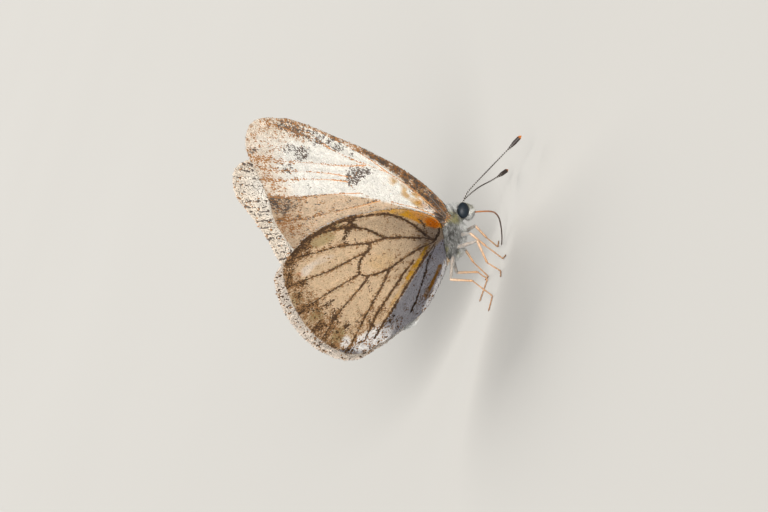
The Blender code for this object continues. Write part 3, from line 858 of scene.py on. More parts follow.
def hind_underside(wing, flat):
    """Tan with dark veins, the tan partly painted shade; a mottled border with olive spots, orange and
    mustard near the base, and painted shade towards the base and over the inner margin.
    """
    u, v = flat.T
    vein = wing.vein_distance(flat)
    outer = distance_to(flat, wing.outer_edge)
    uneven = noise(flat, 1.1, 7)
    anal = below(flat, [(-1.0, -0.2), (0.6, -1.2), (1.3, -1.7), (2.8, -3.25), (4.6, -5.0),
                        (7.9, -8.3), (9.4, -9.9)], 0.16)
    # The pale patches are painted light: lit spots, left white and free of the painted shade. The band
    # along the inner margin is the wing's own pale edge.
    pale = patches(flat, [((12.35, -9.2), (0.8, 0.6), -40, 0.9), ((9.4, -9.4), (2.6, 1.0), -20, 1.0),
                          ((14.9, -0.6), (1.2, 0.5), -25, 0.45), ((13.0, 0.1), (1.5, 0.35), -10, 0.2)])
    pale = over(pale, band(flat, [(-0.8, -2.6), (-0.5, -3.4), (0.9, -5.3), (2.8, -7.4)], 0.30, 0.9))
    band_width = np.interp(v, (-10.5, -8.5, -5.5, -2.0, 1.0, 2.5), (1.0, 3.0, 4.2, 2.8, 1.6, 0.9))
    border = fade((outer + 1.8 * (uneven - 0.5)) / band_width, 0.45, 1.15)
    olive = patches(flat, [
        ((12.6, 2.15), (2.1, 0.55), -10, 0.55), ((16.9, -3.5), (0.7, 0.8), 0, 0.55),
        ((15.3, -5.75), (1.0, 0.8), -30, 0.75), ((13.2, -8.4), (1.0, 0.7), -40, 0.70),
        ((11.6, 3.3), (1.6, 0.35), -12, 0.6)])
    spots = patches(flat, [
        ((16.9, 0.7), (0.8, 0.6), 0, 0.60), ((17.2, -1.2), (0.5, 0.8), 0, 0.45),
        ((16.2, -2.1), (1.0, 0.5), -10, 0.42), ((16.6, -3.3), (0.8, 0.4), -10, 0.32),
        ((16.6, -4.7), (1.1, 0.5), -10, 0.50), ((14.9, -4.6), (1.0, 0.35), -10, 0.28),
        ((13.8, -4.95), (0.9, 0.5), -30, 0.46), ((13.2, -6.2), (1.1, 0.45), -50, 0.42),
        ((12.0, -7.5), (0.9, 0.5), -60, 0.58), ((15.2, -7.0), (0.9, 0.5), -40, 0.50),
        ((14.0, -9.5), (1.0, 0.4), -35, 0.45), ((8.45, -4.1), (0.35, 1.0), 0, 0.34),
        ((9.1, -8.1), (0.5, 0.9), -35, 0.52), ((16.0, 1.8), (0.8, 0.5), -30, 0.70)])
    bar = band(flat, [(8.7, 4.2), (9.3, 3.2), (9.9, 2.25), (10.3, 1.4)], 0.52, 0.74)
    top = over(band(flat, [(12.4, 3.15), (13.7, 2.75), (15.0, 2.1), (16.2, 1.4)], 0.52, 0.72, 1),
               band(flat, [(9.0, 4.1), (11.0, 3.75), (12.6, 3.3)], 0.20, 0.6, 4),
               band(flat, [(8.6, 3.0), (10.6, 3.25), (12.2, 3.1)], 0.30, 0.6, 5))
    trunk = distance_to(flat, wing.veins["Sc"])
    width = 0.15 - 0.06 * fade(u, 14.0, 6.0)
    line = np.maximum(fade(vein / width, 0.45, 1.1) * fade(np.hypot(u, v), 1.9, 1.1),
                      fade(trunk, 0.06, 0.17))
    rim = fade(outer, 0.05, 0.16)
    root = band(flat, [(-0.95, 1.0), (-0.72, 0.55), (-0.15, -0.05)], 0.16, 1.0, 2)
    dark = over(spots, bar, top, 0.16 * border * (1 - 0.7 * olive), 0.88 * line, root, 0.008,
                band(flat, [(7.8, 0.3), (9.1, -1.0), (9.4, -2.2)], 0.22, 0.35, 3))
    stripe = band(flat, [(-0.1, -3.0), (0.4, -3.6), (1.1, -4.5), (1.9, -5.4), (2.3, -5.9)],
                  0.28, 1.0, 4)
    patchy = 0.35 + 1.1 * noise(flat, 0.4, 17)
    before = fade(v - np.interp(u, (-1.0, 0.6, 1.6, 3.5, 5.1), (0.9, 1.4, 2.1, 3.2, 3.8)), 0.3, 0.0)
    return {
        # The tan ground is partly painted shade; the inner margin and the pale patches are left white.
        "tan": (1 - 0.97 * anal) * (1 - 0.92 * pale),
        "dark": dark * (1 - 0.6 * pale * (1 - line)),
        "brown": over(0.46 * border, 0.05, 0.7 * rim, 0.34 * fade(vein, 0.16, 0.42) * (1 - anal),
                      0.3 * anal * fade(v, -6.5, -4.5) * fade(u, 2.6, 3.6))
                 * (1 - 0.6 * pale * (1 - rim)),
        "yellow": over(patchy * band(flat, [(0.9, -0.5), (1.6, -1.3), (2.6, -2.35), (4.0, -3.6)],
                                     0.32, 1.0),
                       patchy * band(flat, [(2.6, -2.5), (4.6, -4.35), (6.6, -6.3)], 0.22, 0.5, 2),
                       0.9 * before * fade(u, 4.6, 7.0) * patchy, 0.9 * stripe * patchy,
                       0.17 * patchy * blob(flat, (6.8, -1.3), (2.0, 1.0), -10)),
        "orange": over(blob(flat, (-0.25, 1.75), (0.95, 0.6), 40, 1.0),
                       0.45 * before * fade(u, 1.0, 3.4), 0.35 * stripe * patchy,
                       blob(flat, (16.1, -1.0), (0.5, 0.35), 0, 0.4)),
        "olive": olive,
        # Painted shade towards the base, over the inner margin and the costal cell; the border is
        # darkened a little too.
        "shade": over(0.85 * fade(np.hypot(u, v), 1.0, 3.0), 0.46 * fade(u, 1.5, 8.0),
                      0.85 * anal * (1 - pale), 0.10 * border,
                      0.22 * blob(flat, (5.5, 2.6), (4.2, 1.3), 5)) * (1 - 0.5 * before),
    }


def upperside(wing, flat):
    """White, with painted shade in fine creases, and dark vein ends across the border."""
    outer = distance_to(flat, wing.outer_edge)
    vein = wing.vein_distance(flat)
    # Painted shade: thin dark lines fanned across the border, as the shade in fine creases.
    spokes = np.arctan2(flat[:, 1] - 4.0, flat[:, 0] + 14.0)
    crease_shade = np.abs((spokes * 46 + 0.25 * noise(flat, 2.5, 8)) % 1 - 0.5)
    crease_shade = fade(crease_shade, 0.05, 0.08) * fade(outer, 0.6, 3.2)
    ends = fade(vein, 0.05, 0.12) * fade(outer, 2.0, 7.0)
    dark = over(0.6 * ends, 0.7 * crease_shade)
    if wing.kind == "hind":
        dark = 0.55 * dark
    else:
        dark = over(dark, blob(flat, (10.7, 0.0), (1.1, 1.2), 0, 0.6),
                    blob(flat, (20.5, 1.4), (3.0, 1.0), -14, 0.10))
    return {
        "tan": 0.05 + 0.30 * fade(outer, 0.5, 5.0),
        "dark": dark,
        "brown": over(0.06 * fade(outer, 0.4, 2.5), 0.4 * fade(outer, 0.05, 0.2)),
        "yellow": 0.10 * fade(outer, 0.2, 3.0),
        **dict.fromkeys(("orange", "olive", "shade"), np.zeros(len(flat))),
    }


UNDERSIDES = {"fore": fore_underside, "hind": hind_underside}


def markings(wing, flat, face):
    """The wing's marking densities on its outer (under) or inner (upper) face."""
    found = UNDERSIDES[wing.kind](wing, flat) if face == "outer" else upperside(wing, flat)
    return {**{key: np.clip(value, 0, 1) for key, value in found.items()},
            "flat": np.column_stack([flat, np.zeros(len(flat))])}


def flat_membrane(wing):
    """The membrane's flat points and triangles: a triangular grid inside the worn edge."""
    rim = wing.worn_edge(RIM_GRID * QUICK)
    spacing = MEMBRANE_GRID * QUICK
    rows = []
    for i, across in enumerate(np.arange(wing.low[1], wing.high[1], spacing * math.sqrt(0.75))):
        along = np.arange(wing.low[0] + (i % 2) * spacing / 2, wing.high[0], spacing)
        rows.append(np.column_stack([along, np.full(len(along), across)]))
    grid = np.vstack(rows)
    clear = distance_to(grid, np.vstack([rim, rim[:1]])) > 0.6 * spacing
    flat = np.vstack([rim, grid[clear & (wing.share(grid) < 1)]])
    loop = list(range(len(rim)))
    points, _, triangles, *_ = delaunay_2d_cdt([Vector(p) for p in flat], [], [loop], 1, 1e-7)
    return np.array([tuple(p) for p in points]), np.array([t for t in triangles if len(t) == 3])


def membrane_mesh(wing):
    """The wing's own sheet: two faces a membrane apart, joined round the edge."""
    flat, triangles = flat_membrane(wing)
    relief = wing.relief(flat)
    count = len(flat)
    points = np.vstack([wing.place(flat, MEMBRANE, relief), wing.place(flat, -MEMBRANE, relief)])
    outer = triangles if wing.side_name == "left" else triangles[:, ::-1]
    inner = outer[:, ::-1] + count
    ring = boundary_edges(outer)
    wall = np.array([(b, a, a + count) for a, b in ring]
                    + [(b, a + count, b + count) for a, b in ring])
    under, upper = markings(wing, flat, "outer"), markings(wing, flat, "inner")
    values = {key: np.concatenate([under[key], upper[key]]) for key in under}
    chart = wing.chart(flat) * CHART_FACE
    return mesh_from_triangles(points, np.vstack([outer, inner, wall]), values,
                               np.vstack([chart, chart + CHART_OTHER_FACE]))


def boundary_edges(triangles):
    """The directed edges that only one triangle has."""
    edges = np.vstack([triangles[:, (0, 1)], triangles[:, (1, 2)], triangles[:, (2, 0)]])
    known = {tuple(e) for e in edges.tolist()}
    return [e for e in known if (e[1], e[0]) not in known]


def vein_mesh(wing):
    """Thin tapering tubes that stand out of both faces, and one along the front edge."""
    shape, rng = Shape(), np.random.default_rng(61)
    costa = wing.front_edge - COSTA_INSET * unit(wing.front_edge - wing.hub)
    costa = resample(costa, VEIN_GRID)
    for key, line in {**wing.veins, "costa": costa}.items():
        line = line[wing.share(line) < 0.997]
        reach = np.linspace(0, 1, len(line))
        thin = 0.7 if key in THIN_VEINS else 1.0
        radii = thin * (VEIN_RADII[0] + (VEIN_RADII[1] - VEIN_RADII[0]) * reach ** 0.7)
        points, faces = tube(wing.place(line), radii, VEIN_SIDES)
        marks = markings(wing, line, "outer")
        if key == "costa":
            marks["brown"] = over(marks["brown"], 0.6)
        elif wing.kind == "hind":
            marks["dark"] = np.maximum(marks["dark"], 0.5)
        values = {k: np.repeat(v, VEIN_SIDES) for k, v in marks.items() if k != "flat"}
        roll = rng.random(len(points)) if key == "costa" else VEIN_ROLL
        shape.add(points, faces, roll=roll, tone=rng.random(len(points)), **values)
    mesh = shape.mesh()
    write_attribute(mesh, "flat", np.zeros((shape.count, 3)))
    return mesh


# A wing scale's cross rows: their share of its length, half their share of its width, and how
# far they stand off the membrane.
SCALE_ROWS = ((0.0, 0.30, -0.010), (0.60, 0.60, 0.018), (1.0, 0.45, 0.027))
SCALE_TRIANGLES = np.array([(0, 1, 3), (0, 3, 2), (2, 3, 5), (2, 5, 4),
                            (0, 4, 5), (0, 5, 1), (0, 2, 4), (1, 5, 3)])


def scale_rows(wing, spacing, rng):
    """Where scales root: staggered rows all over the wing, up to its rim, a little uneven."""
    across = np.arange(wing.low[1], wing.high[1], spacing[1])
    along = np.arange(wing.low[0], wing.high[0], spacing[0])
    u, v = np.meshgrid(along, across, indexing="ij")
    v = v + (np.arange(len(along)) % 2)[:, None] * spacing[1] / 2
    roots = np.column_stack([u.ravel(), v.ravel()])
    roots = roots + rng.normal(0, 0.16, roots.shape) * spacing
    limit = 1.010 - 0.025 * fade(distance_to(roots, wing.outer_edge), 0.2, 0.6)
    return roots[wing.share(roots) < limit]


def scale_headings(wing, flat, is_fringe, rng):
    """Which way scales point: towards the outer edge, fanned, and outward in the fringe."""
    ahead = unit(flat - SCALE_FAN)
    ahead = np.where(is_fringe[:, None], unit(ahead + 1.2 * unit(flat - wing.hub)), ahead)
    turn = rng.normal(0, 0.12, len(flat))
    return np.column_stack([ahead[:, 0] * np.cos(turn) - ahead[:, 1] * np.sin(turn),
                            ahead[:, 0] * np.sin(turn) + ahead[:, 1] * np.cos(turn)])


def scale_mesh(wing, face, coarseness, seed):
    """Overlapping wing scales on one face, and the fringe along the outer edge."""
    rng = np.random.default_rng(seed)
    length, width = SCALE_LENGTH * coarseness, SCALE_WIDTH * coarseness
    roots = scale_rows(wing, ((1 - SCALE_OVERLAP) * length, SCALE_SPACING * width), rng)
    fringe = resample(wing.outer_edge, FRINGE_SPACING * coarseness)
    flat = np.vstack([roots, fringe - unit(fringe - wing.hub) * FRINGE_INSET])
    count = len(flat)
    is_fringe = np.arange(count) >= len(roots)
    ahead = scale_headings(wing, flat, is_fringe, rng)
    beside = np.column_stack([-ahead[:, 1], ahead[:, 0]])
    lengths = np.where(is_fringe, FRINGE_LENGTH * rng.uniform(0.75, 1.25, count),
                       length * rng.uniform(0.85, 1.2, count))
    widths = np.where(is_fringe, FRINGE_WIDTH * width, width * rng.uniform(0.8, 1.15, count))
    tilt = rng.normal(0, 0.006, count)
    sign = 1 if face == "outer" else -1
    relief, chart = wing.relief(flat), wing.chart(flat)
    step = 0.1
    slope = (wing.relief(flat + step * ahead) - relief) / step
    points, patch = [], []
    for share, half, height in SCALE_ROWS:
        for hand in (-1, 1):
            away = (lengths * share)[:, None] * ahead + (hand * widths * half)[:, None] * beside
            rise = sign * (MEMBRANE + height + hand * tilt * share)
            points.append(wing.place(flat + away, rise, relief + slope * lengths * share))
            patch.append(chart + TUFT_PATCH * np.array((share - 0.5, hand * half / 2)))
    faces_left = (wing.side_name == "left") == (face == "outer")
    clumps = rng.random(count) + CLUMPING * noise(flat, CLUMP_SIZE, 77)
    marks = {**markings(wing, flat, face), "roll": clumps.argsort().argsort() / count,
             "tone": rng.random(count)}
    return mesh_of_many(points, patch, SCALE_TRIANGLES[:, ::1 if faces_left else -1], marks)


def build_wings():
    """Four wings, each a membrane with veins, and scales on both faces."""
    for kind, spec in (("fore", FORE_WING), ("hind", HIND_WING)):
        membrane, scales = wing_finish(kind, loose=False), wing_finish(kind, loose=True)
        for number, side_name in enumerate(SIDES):
            wing = Wing(kind, spec, side_name)
            label = f"{kind}_{side_name}"
            add_piece(f"membrane_{label}", membrane_mesh(wing), membrane, [f"wing_{label}"])
            add_piece(f"veins_{label}", vein_mesh(wing), scales)
            for face, coarseness in (("outer", 1.0), ("inner", INNER_COARSENESS)):
                mesh = scale_mesh(wing, face, coarseness * QUICK ** 0.5, 40 + number)
                add_piece(f"scales_{label}_{face}", mesh, scales, smooth=False)


# ---------------------------------------------------------------- body

def loft(stations, power, inset, segments=0, groove=0.0):
    """A closed body of superellipse rings along its stations, inset all round.

    Where it has segments, grooves of that depth run round it between them.
    """
    path, sides = spline(stations, 10), 40
    heading = unit(np.gradient(path[:, :2], axis=0))
    phase = segments * np.linspace(0, 1, len(path))
    pinch = 1 - groove * (1 - np.abs(np.sin(math.pi * phase))) ** 3
    angle = np.arange(sides) * 2 * math.pi / sides
    across, up = (np.sign(way) * np.abs(way) ** (2 / power)
                  for way in (np.cos(angle), np.sin(angle)))
    height = np.maximum(path[:, 2] * pinch - inset, 0.03)
    width = np.maximum(path[:, 3] * pinch - inset, 0.03)
    rise = height[:, None] * up
    points = np.stack([path[:, :1] - heading[:, 1:] * rise, width[:, None] * across,
                       path[:, 1:2] + heading[:, :1] * rise], axis=-1).reshape(-1, 3)
    return points, ring_faces(len(path), sides)


def pitched(points, centre):
    """Points about the origin turned up by the head's pitch and moved to the centre."""
    turn = np.array(Matrix.Rotation(-HEAD_PITCH, 3, "Y"))
    return points @ turn.T + centre


def ball(centre, semi_axes, detail=4):
    """A smooth ellipsoid on the head's axes."""
    shape = bmesh.new()
    bmesh.ops.create_icosphere(shape, subdivisions=detail, radius=1.0)
    points = np.array([tuple(v.co) for v in shape.verts])
    faces = [tuple(v.index for v in f.verts) for f in shape.faces]
    shape.free()
    return pitched(points * semi_axes, centre), faces


def fused(parts, voxel):
    """The union of closed parts as one even mesh: its points (mm) and faces."""
    shape = Shape()
    for points, faces in parts:
        shape.add(points, faces)
    item = new_object("fused", shape.mesh(placed=np.asarray))
    remesh = item.modifiers.new("remesh", "REMESH")
    remesh.mode = "VOXEL"
    remesh.voxel_size = voxel
    smooth = item.modifiers.new("smooth", "SMOOTH")
    smooth.factor = 0.5
    smooth.iterations = 4
    result = item.evaluated_get(bpy.context.evaluated_depsgraph_get()).to_mesh()
    points = np.array([tuple(v.co) for v in result.vertices])
    faces = [tuple(p.vertices) for p in result.polygons]
    bpy.data.objects.remove(item, do_unlink=True)
    return points, faces


def body_marks(points):
    """Where the coat is dark or warm: wing roots, the mottled flanks and the yellow line."""
    x, y, z = points.T
    cheek = np.column_stack([x, z])
    flank = np.abs(y) > 0.35
    dark = fade(distance_to(cheek, np.array([(5.9, 7.2), (5.4, 7.4), (4.3, 7.5), (2.8, 7.6)]))
                + 0.3 * (noise(cheek, 0.5, 23) - 0.5), 0.10, 0.28)
    for centre, reach in (((2.71, 6.41), 0.34), ((2.46, 5.67), 0.36), ((2.34, 5.23), 0.32),
                          ((4.55, 6.35), 0.36), ((4.85, 6.05), 0.28), ((4.1, 6.25), 0.26)):
        dark = np.maximum(dark, fade(np.linalg.norm(cheek - centre, axis=1), 0.4 * reach, reach))
    mottle = fade(noise(cheek, 0.45, 21), 0.80, 0.58) * 0.6
    dark = np.where(flank, np.maximum(dark, mottle * (x > 2.2)), 0.0)
    axis = np.interp(x, [s[0] for s in ABDOMEN], [s[1] for s in ABDOMEN])
    stripe = fade(np.abs(z - axis + 0.55), 0.10, 0.30) * fade(x, 1.6, 2.2) * fade(x, -4.5, -5.5)
    olive = 0.95 * fade(noise(cheek, 0.9, 22), 0.75, 0.35) * fade(x, 2.8, 2.0) * fade(x, 6.9, 7.4)
    return dark, stripe * flank, olive


def build_skin():
    """One skin for head, thorax and abdomen."""
    parts = [loft(THORAX, 2.6, BODY_SKIN_INSET),
             loft(ABDOMEN, 2.1, ABDOMEN_SKIN_INSET, segments=9, groove=0.09),
             ball(HEAD_CENTRE, HEAD_SEMI_AXES - HEAD_SKIN_INSET),
             ball(HEAD_CENTRE + NECK_OFFSET, NECK_SEMI_AXES)]
    points, faces = fused(parts, SKIN_VOXEL * QUICK)
    dark, stripe, _ = body_marks(points)
    shape = Shape()
    shape.add(points, faces, dark=dark, warm=stripe)
    return shape.piece("body_skin", skin_finish(), "hair", ["head", "thorax", "abdomen"])


def read_triples(items, field, kind=float):
    """Three numbers from each of a mesh's points or triangles."""
    found = np.empty(3 * len(items), kind)
    items.foreach_get(field, found)
    return found.reshape(-1, 3)


def skin_samples(skin, count, density, rng):
    """Random places on the skin with their normals, thinned by a density function."""
    mesh = skin.data
    mesh.calc_loop_triangles()
    points = (read_triples(mesh.vertices, "co") - OFFSET) / MM
    normals = read_triples(mesh.vertices, "normal")
    triangles = read_triples(mesh.loop_triangles, "vertices", int)
    a, b, c = (points[triangles[:, k]] for k in range(3))
    area = np.linalg.norm(np.cross(b - a, c - a), axis=1) * density((a + b + c) / 3)
    pick = rng.choice(len(triangles), count, p=area / area.sum())
    s, t = rng.random((2, count))
    s, t = np.where(s + t > 1, 1 - s, s), np.where(s + t > 1, 1 - t, t)
    weights = np.column_stack([1 - s - t, s, t])
    corners = triangles[pick]
    return (np.einsum("nk,nkd->nd", weights, points[corners]),
            unit(np.einsum("nk,nkd->nd", weights, normals[corners])))


def body_chart(points):
    """An unwrap of the body: along its length, and round it from the belly."""
    x, y, z = points.T
    axis = np.interp(x, (-6.8, 0.8, 3.8, 6.0, 7.7, 8.8), (7.86, 6.62, 6.12, 6.3, 5.6, 5.3))
    turn = np.arctan2(y, axis - z) / (2 * math.pi) + 0.5
    start, length = CHART_BODY
    return np.column_stack([on_chart(x + start, length), on_chart(turn)])


def inside_eye(points, grow):
    """True where a point is inside either eye, grown by some millimetres."""
    local = np.column_stack([points[:, 0], np.abs(points[:, 1]), points[:, 2]]) - EYE_CENTRE
    turn = np.array(Matrix.Rotation(HEAD_PITCH, 3, "Y"))
    local = local @ turn.T
    return np.linalg.norm(local / (EYE_SEMI_AXES + grow), axis=1) < 1


def is_head(points):
    """True where a point belongs to the head."""
    local = (points - HEAD_CENTRE) / (HEAD_SEMI_AXES + 0.15)
    return np.linalg.norm(local, axis=1) < 1


def hair_values(middles, leader, rng):
    """Colour attributes from where the hairs' middles lie; a lock has one colour, nearly."""
    dark, stripe, olive = body_marks(middles[leader])
    count = len(middles)
    shades = rng.random(count)
    return {"tone": 0.5 * shades[leader] + 0.5 * rng.random(count),
            "dark": np.clip(dark, 0, 1) * rng.uniform(0.7, 1, count),
            "warm": np.clip(olive * rng.uniform(0.3, 1.3, count), 0, 1),
            "stripe": stripe * rng.uniform(0.5, 1.2, count)}


def build_thorax_hair(skin, finish):
    """The long coat of the thorax: back and down the flanks, with a white breast and collar."""
    rng = np.random.default_rng(71)
    for part in ("back", "breast"):
        def on_part(p):
            in_back = p[:, 2] > BREAST_TOP
            return (p[:, 0] > THORAX_REAR) & ~is_head(p) & (in_back == (part == "back"))

        roots, normals = skin_samples(skin, BODY_HAIRS // QUICK, on_part, rng)
        count = len(roots)
        x, y, z = roots.T
        throat = fade(np.abs(x - 6.7), 0.5, 1.1) * fade(z, 5.5, 6.0)
        hips = fade(x, 3.0, 3.9) * fade(z, 5.5, 6.0)
        breast = np.clip(fade(z, 4.75, 5.2) + fade(x, 7.2, 6.6) * fade(z, 6.0, 6.4), 0, 1)
        collar = fade(x, 6.9, 6.2) * fade(z, 6.7, 6.2)
        rump = fade(x, 2.5, 3.2) * fade(z, 5.2, 5.6)
        bright = np.clip(breast + 0.6 * collar + 0.8 * rump + throat, 0, 1)
        lay = np.column_stack([-1.0 + 1.6 * breast + 1.3 * collar, 0.25 * np.sign(y),
                               -0.5 - 0.6 * breast + 1.7 * collar])
        lay = lay + rng.normal(0, 0.30, lay.shape)
        lift = np.radians(rng.normal(20, 9, count) + 24 * breast + 16 * collar + 10 * rump
                          + 20 * throat + 18 * hips)
        length = rng.uniform(0.40, 0.80, count) * (1 + 0.25 * bright + 0.35 * throat + 0.5 * hips)
        leader = lock_leaders(roots, 8)
        values = hair_values(roots + 0.4 * length[:, None] * unit(lay), leader, rng)
        shown = 1 - 0.6 * rng.random(count)[leader]
        # Painted shade: away from its pale parts the whitish-grey coat is darkened to grey. The pale
        # breast, collar, rump and throat are partly white tufts and partly painted rim light.
        values["tone"] = np.clip(0.62 * values["tone"] ** 2 + 0.66 * bright * shown, 0, 1)
        values["warm"] = values["warm"] * (1 - bright)
        add_hairs(f"hair_thorax_{part}", finish, (roots, normals, lay, body_chart(roots)),
                  (length, rng.uniform(0.014, 0.024, count), lift, 0.12), values, leader, 0.45)


def build_head_hair(skin, finish):
    """Short dense hair round the eyes, tufts on the crown and a brush on the face."""
    rng = np.random.default_rng(72)
    roots, normals = skin_samples(skin, BODY_HAIRS // QUICK,
                                  lambda p: is_head(p) & ~inside_eye(p, 0.03), rng)
    count = len(roots)
    x, y, z = (roots - HEAD_CENTRE).T
    crown = fade(z + 0.3 * x, 0.80, 0.45)
    chin = fade(z, -0.55, -0.15)
    throat = chin * fade(x, -0.1, 0.4)
    face = fade(x, 0.60, 0.25) * (1 - crown)
    cheek = fade(np.abs(y), 0.45, 0.65) * (1 - throat)
    lay = np.column_stack([0.5 - 0.4 * crown, 0.35 * np.sign(y), -1.0 + 2.1 * crown])
    lay = lay + rng.normal(0, 0.35, lay.shape)
    lift = np.radians(rng.normal(26, 10, count) + 30 * crown + 26 * face + 22 * chin - 8 * cheek)
    length = rng.uniform(0.18, 0.36, count) * (1 + 1.5 * crown + 0.6 * chin + 0.8 * throat
                                               + 0.6 * face)
    leader = lock_leaders(roots, 9)
    values = hair_values(roots + 0.4 * length[:, None] * unit(lay), leader, rng)
    shown = 1 - 0.6 * rng.random(count)[leader]
    pale = 0.40 * chin + 0.42 * crown + 0.2 * face
    values["tone"] = np.clip(0.4 * values["tone"] + pale * shown, 0, 1)
    values["warm"] = np.clip(values["warm"] * 0.5 + 0.3 * face, 0, 1)
    add_hairs("hair_head", finish, (roots, normals, lay, body_chart(roots)),
              (length, rng.uniform(0.010, 0.018, count), lift, 0.10), values, leader, 0.5)


def build_abdomen_coat(skin, finish):
    """Flat pale hairs along the abdomen, longer at its root and tip."""
    rng = np.random.default_rng(73)
    roots, normals = skin_samples(skin, BODY_HAIRS // QUICK,
                                  lambda p: p[:, 0] < ABDOMEN_FRONT, rng)
    count = len(roots)
    x = roots[:, 0]
    lay = np.column_stack([-np.ones(count), np.zeros(count), np.full(count, 0.18)])
    lay = lay + rng.normal(0, 0.14, lay.shape)
    tip, root = fade(x, -5.6, -4.6), fade(x, 1.7, 0.7)
    belly = fade(roots[:, 2] - np.interp(x, (-6.8, 0.8, 2.4), (7.86, 6.62, 6.2)), -0.7, -0.4)
    lift = np.radians(rng.normal(10, 4, count) + 12 * tip + 10 * root + 12 * belly)
    length = rng.uniform(0.26, 0.46, count) * (1 + 0.7 * tip + 0.7 * root + 0.3 * belly)
    leader = lock_leaders(roots, 6)
    values = hair_values(roots, leader, rng)
    values["tone"] = 0.2 + 0.4 * values["tone"] + 0.3 * belly
    add_hairs("hair_abdomen", finish, (roots, normals, lay, body_chart(roots)),
              (length, rng.uniform(0.020, 0.032, count), lift, 0.06), values, leader, 0.3)


def build_eyes():
    """Big eyes of round facets, which are laid out evenly along a spiral from pole to pole."""
    finish = eye_finish()
    number = np.arange(EYE_FACETS)
    turn = number * math.pi * (3 - math.sqrt(5))
    height = 1 - 2 * (number + 0.5) / EYE_FACETS
    ring = np.sqrt(1 - height ** 2)
    facets = tree_of(np.column_stack([ring * np.cos(turn), ring * np.sin(turn), height]))
    points, faces = ball(np.zeros(3), np.ones(3), detail=6)
    points = unit(points)
    facet_width = math.sqrt(4 * math.pi / EYE_FACETS)
    gap = np.array([facets.find(p)[2] for p in points]) / facet_width
    swell = EYE_FILL - FACET_DEPTH * np.clip(gap, 0, 0.7) ** 2
    rim = fade(np.abs(points[:, 1]), 0.18, 0.42)
    for side_name, side in SIDES.items():
        shape = Shape()
        shape.add(pitched(points * swell[:, None] * EYE_SEMI_AXES, EYE_CENTRE * (1, side, 1)),
                  faces, rim=rim)
        shape.piece(f"eye_facets_{side_name}", finish, "eye", [f"eye_{side_name}"])


# ---------------------------------------------------------------- feelers and mouth parts

def ringed_line(points, steps, spacing, points_to_ring):
    """An even line along the curve, its points' reach from 0 to 1, and its rings: 0 between them."""
    line = resample(spline(points, steps), spacing)
    reach = np.linspace(0, 1, len(line))
    return line, reach, np.abs(np.sin(math.pi * len(line) / points_to_ring * reach))


def build_antennae():
    """Ringed shafts that swell into a dark club with an orange tip."""
    finish = horn_finish("antenna", srgb(36, 28, 26), srgb(196, 112, 40))
    sides = 12
    for side_name, side in SIDES.items():
        line, reach, rings = ringed_line(np.array(ANTENNA[side_name]) * (1, side, 1), 20, 0.055, 5)
        club = fade(reach, 0.90, 0.76)
        taper = 1 - 0.75 * fade(reach, 1.0, 0.955) ** 2
        radii = (0.082 - 0.012 * reach + 0.175 * club) * taper * (0.86 + 0.14 * np.sqrt(rings))
        radii = radii + 0.05 * fade(reach, 0.012, 0.03)
        pale = 0.75 * fade(rings, 0.12, 0.35) * (1 - club)
        shape = Shape()
        shape.add(*tube(line, radii, sides), reach=np.repeat(fade(reach, 0.99, 0.955), sides),
                  pale=np.repeat(pale, sides))
        shape.piece(f"antenna_ringed_{side_name}", finish, "antenna", [f"antenna_{side_name}"])


def build_proboscis():
    """The uncoiled tongue: two ribbed tubes side by side."""
    finish = horn_finish("proboscis", srgb(150, 94, 54), srgb(44, 28, 20))
    sides = 10
    line, reach, ribs = ringed_line(PROBOSCIS, 24, 0.03, 4)
    radii = (0.095 - 0.03 * reach) * (0.92 + 0.08 * ribs) * (1 - 0.6 * fade(reach, 1.0, 0.97))
    shape = Shape()
    for hand in (-1, 1):
        shape.add(*tube(line + (0, 0.045 * hand, 0), radii, sides),
                  reach=np.repeat(fade(reach, 0.6, 0.2), sides), pale=0.0)
    shape.piece("proboscis_tubes", finish, "proboscis", ["proboscis"])


def build_palps(finish):
    """The two palps, hidden by their brush of hair."""
    rng = np.random.default_rng(74)
    for side_name, side in SIDES.items():
        line = resample(spline(np.array(PALP) * (1, side, 1), 10)[:-PALP_HIDDEN_TIP], 0.06)
        reach = np.linspace(0, 1, len(line))
        radii = 0.18 - 0.15 * reach ** 3
        shape = Shape()
        shape.add(*tube(line, radii, 12), tone=0.6, warm=0.1, dark=0.0, stripe=0.0, along=0.3)
        shape.piece(f"palp_core_{side_name}", finish, "hair", [f"palp_{side_name}"])
        count = PALP_HAIRS // QUICK
        pick = rng.integers(1, len(line), count)
        forward = unit(np.gradient(line, axis=0))[pick]
        turn = rng.uniform(0, 2 * math.pi, count)
        normals = about(forward, turn[:, None], (0, 1, 0))
        roots = line[pick] + normals * radii[pick][:, None] * 0.9
        values = {"tone": rng.uniform(0.4, 1, count), "warm": rng.uniform(0, 0.3, count)}
        chart = np.column_stack([on_chart(pick, len(line)), on_chart(turn, FULL_TURN)])
        lay = forward + rng.normal(0, 0.2, roots.shape)
        form = (rng.uniform(0.16, 0.26, count), 0.016, np.radians(rng.normal(34, 8, count)), 0.05)
        add_hairs(f"palp_hair_{side_name}", finish, (roots, normals, lay, chart), form, values)


# ---------------------------------------------------------------- legs

THIGH_RADII = (0.19, 0.23, 0.22, 0.18, 0.16)
SHIN_RADII = (0.13, 0.15, 0.135, 0.12, 0.12, 0.14)
FOOT_JOINTS = (0.0, 0.42, 0.60, 0.74, 0.86, 1.0)    # where they lie along the foot
SHIN_SPINES = 10


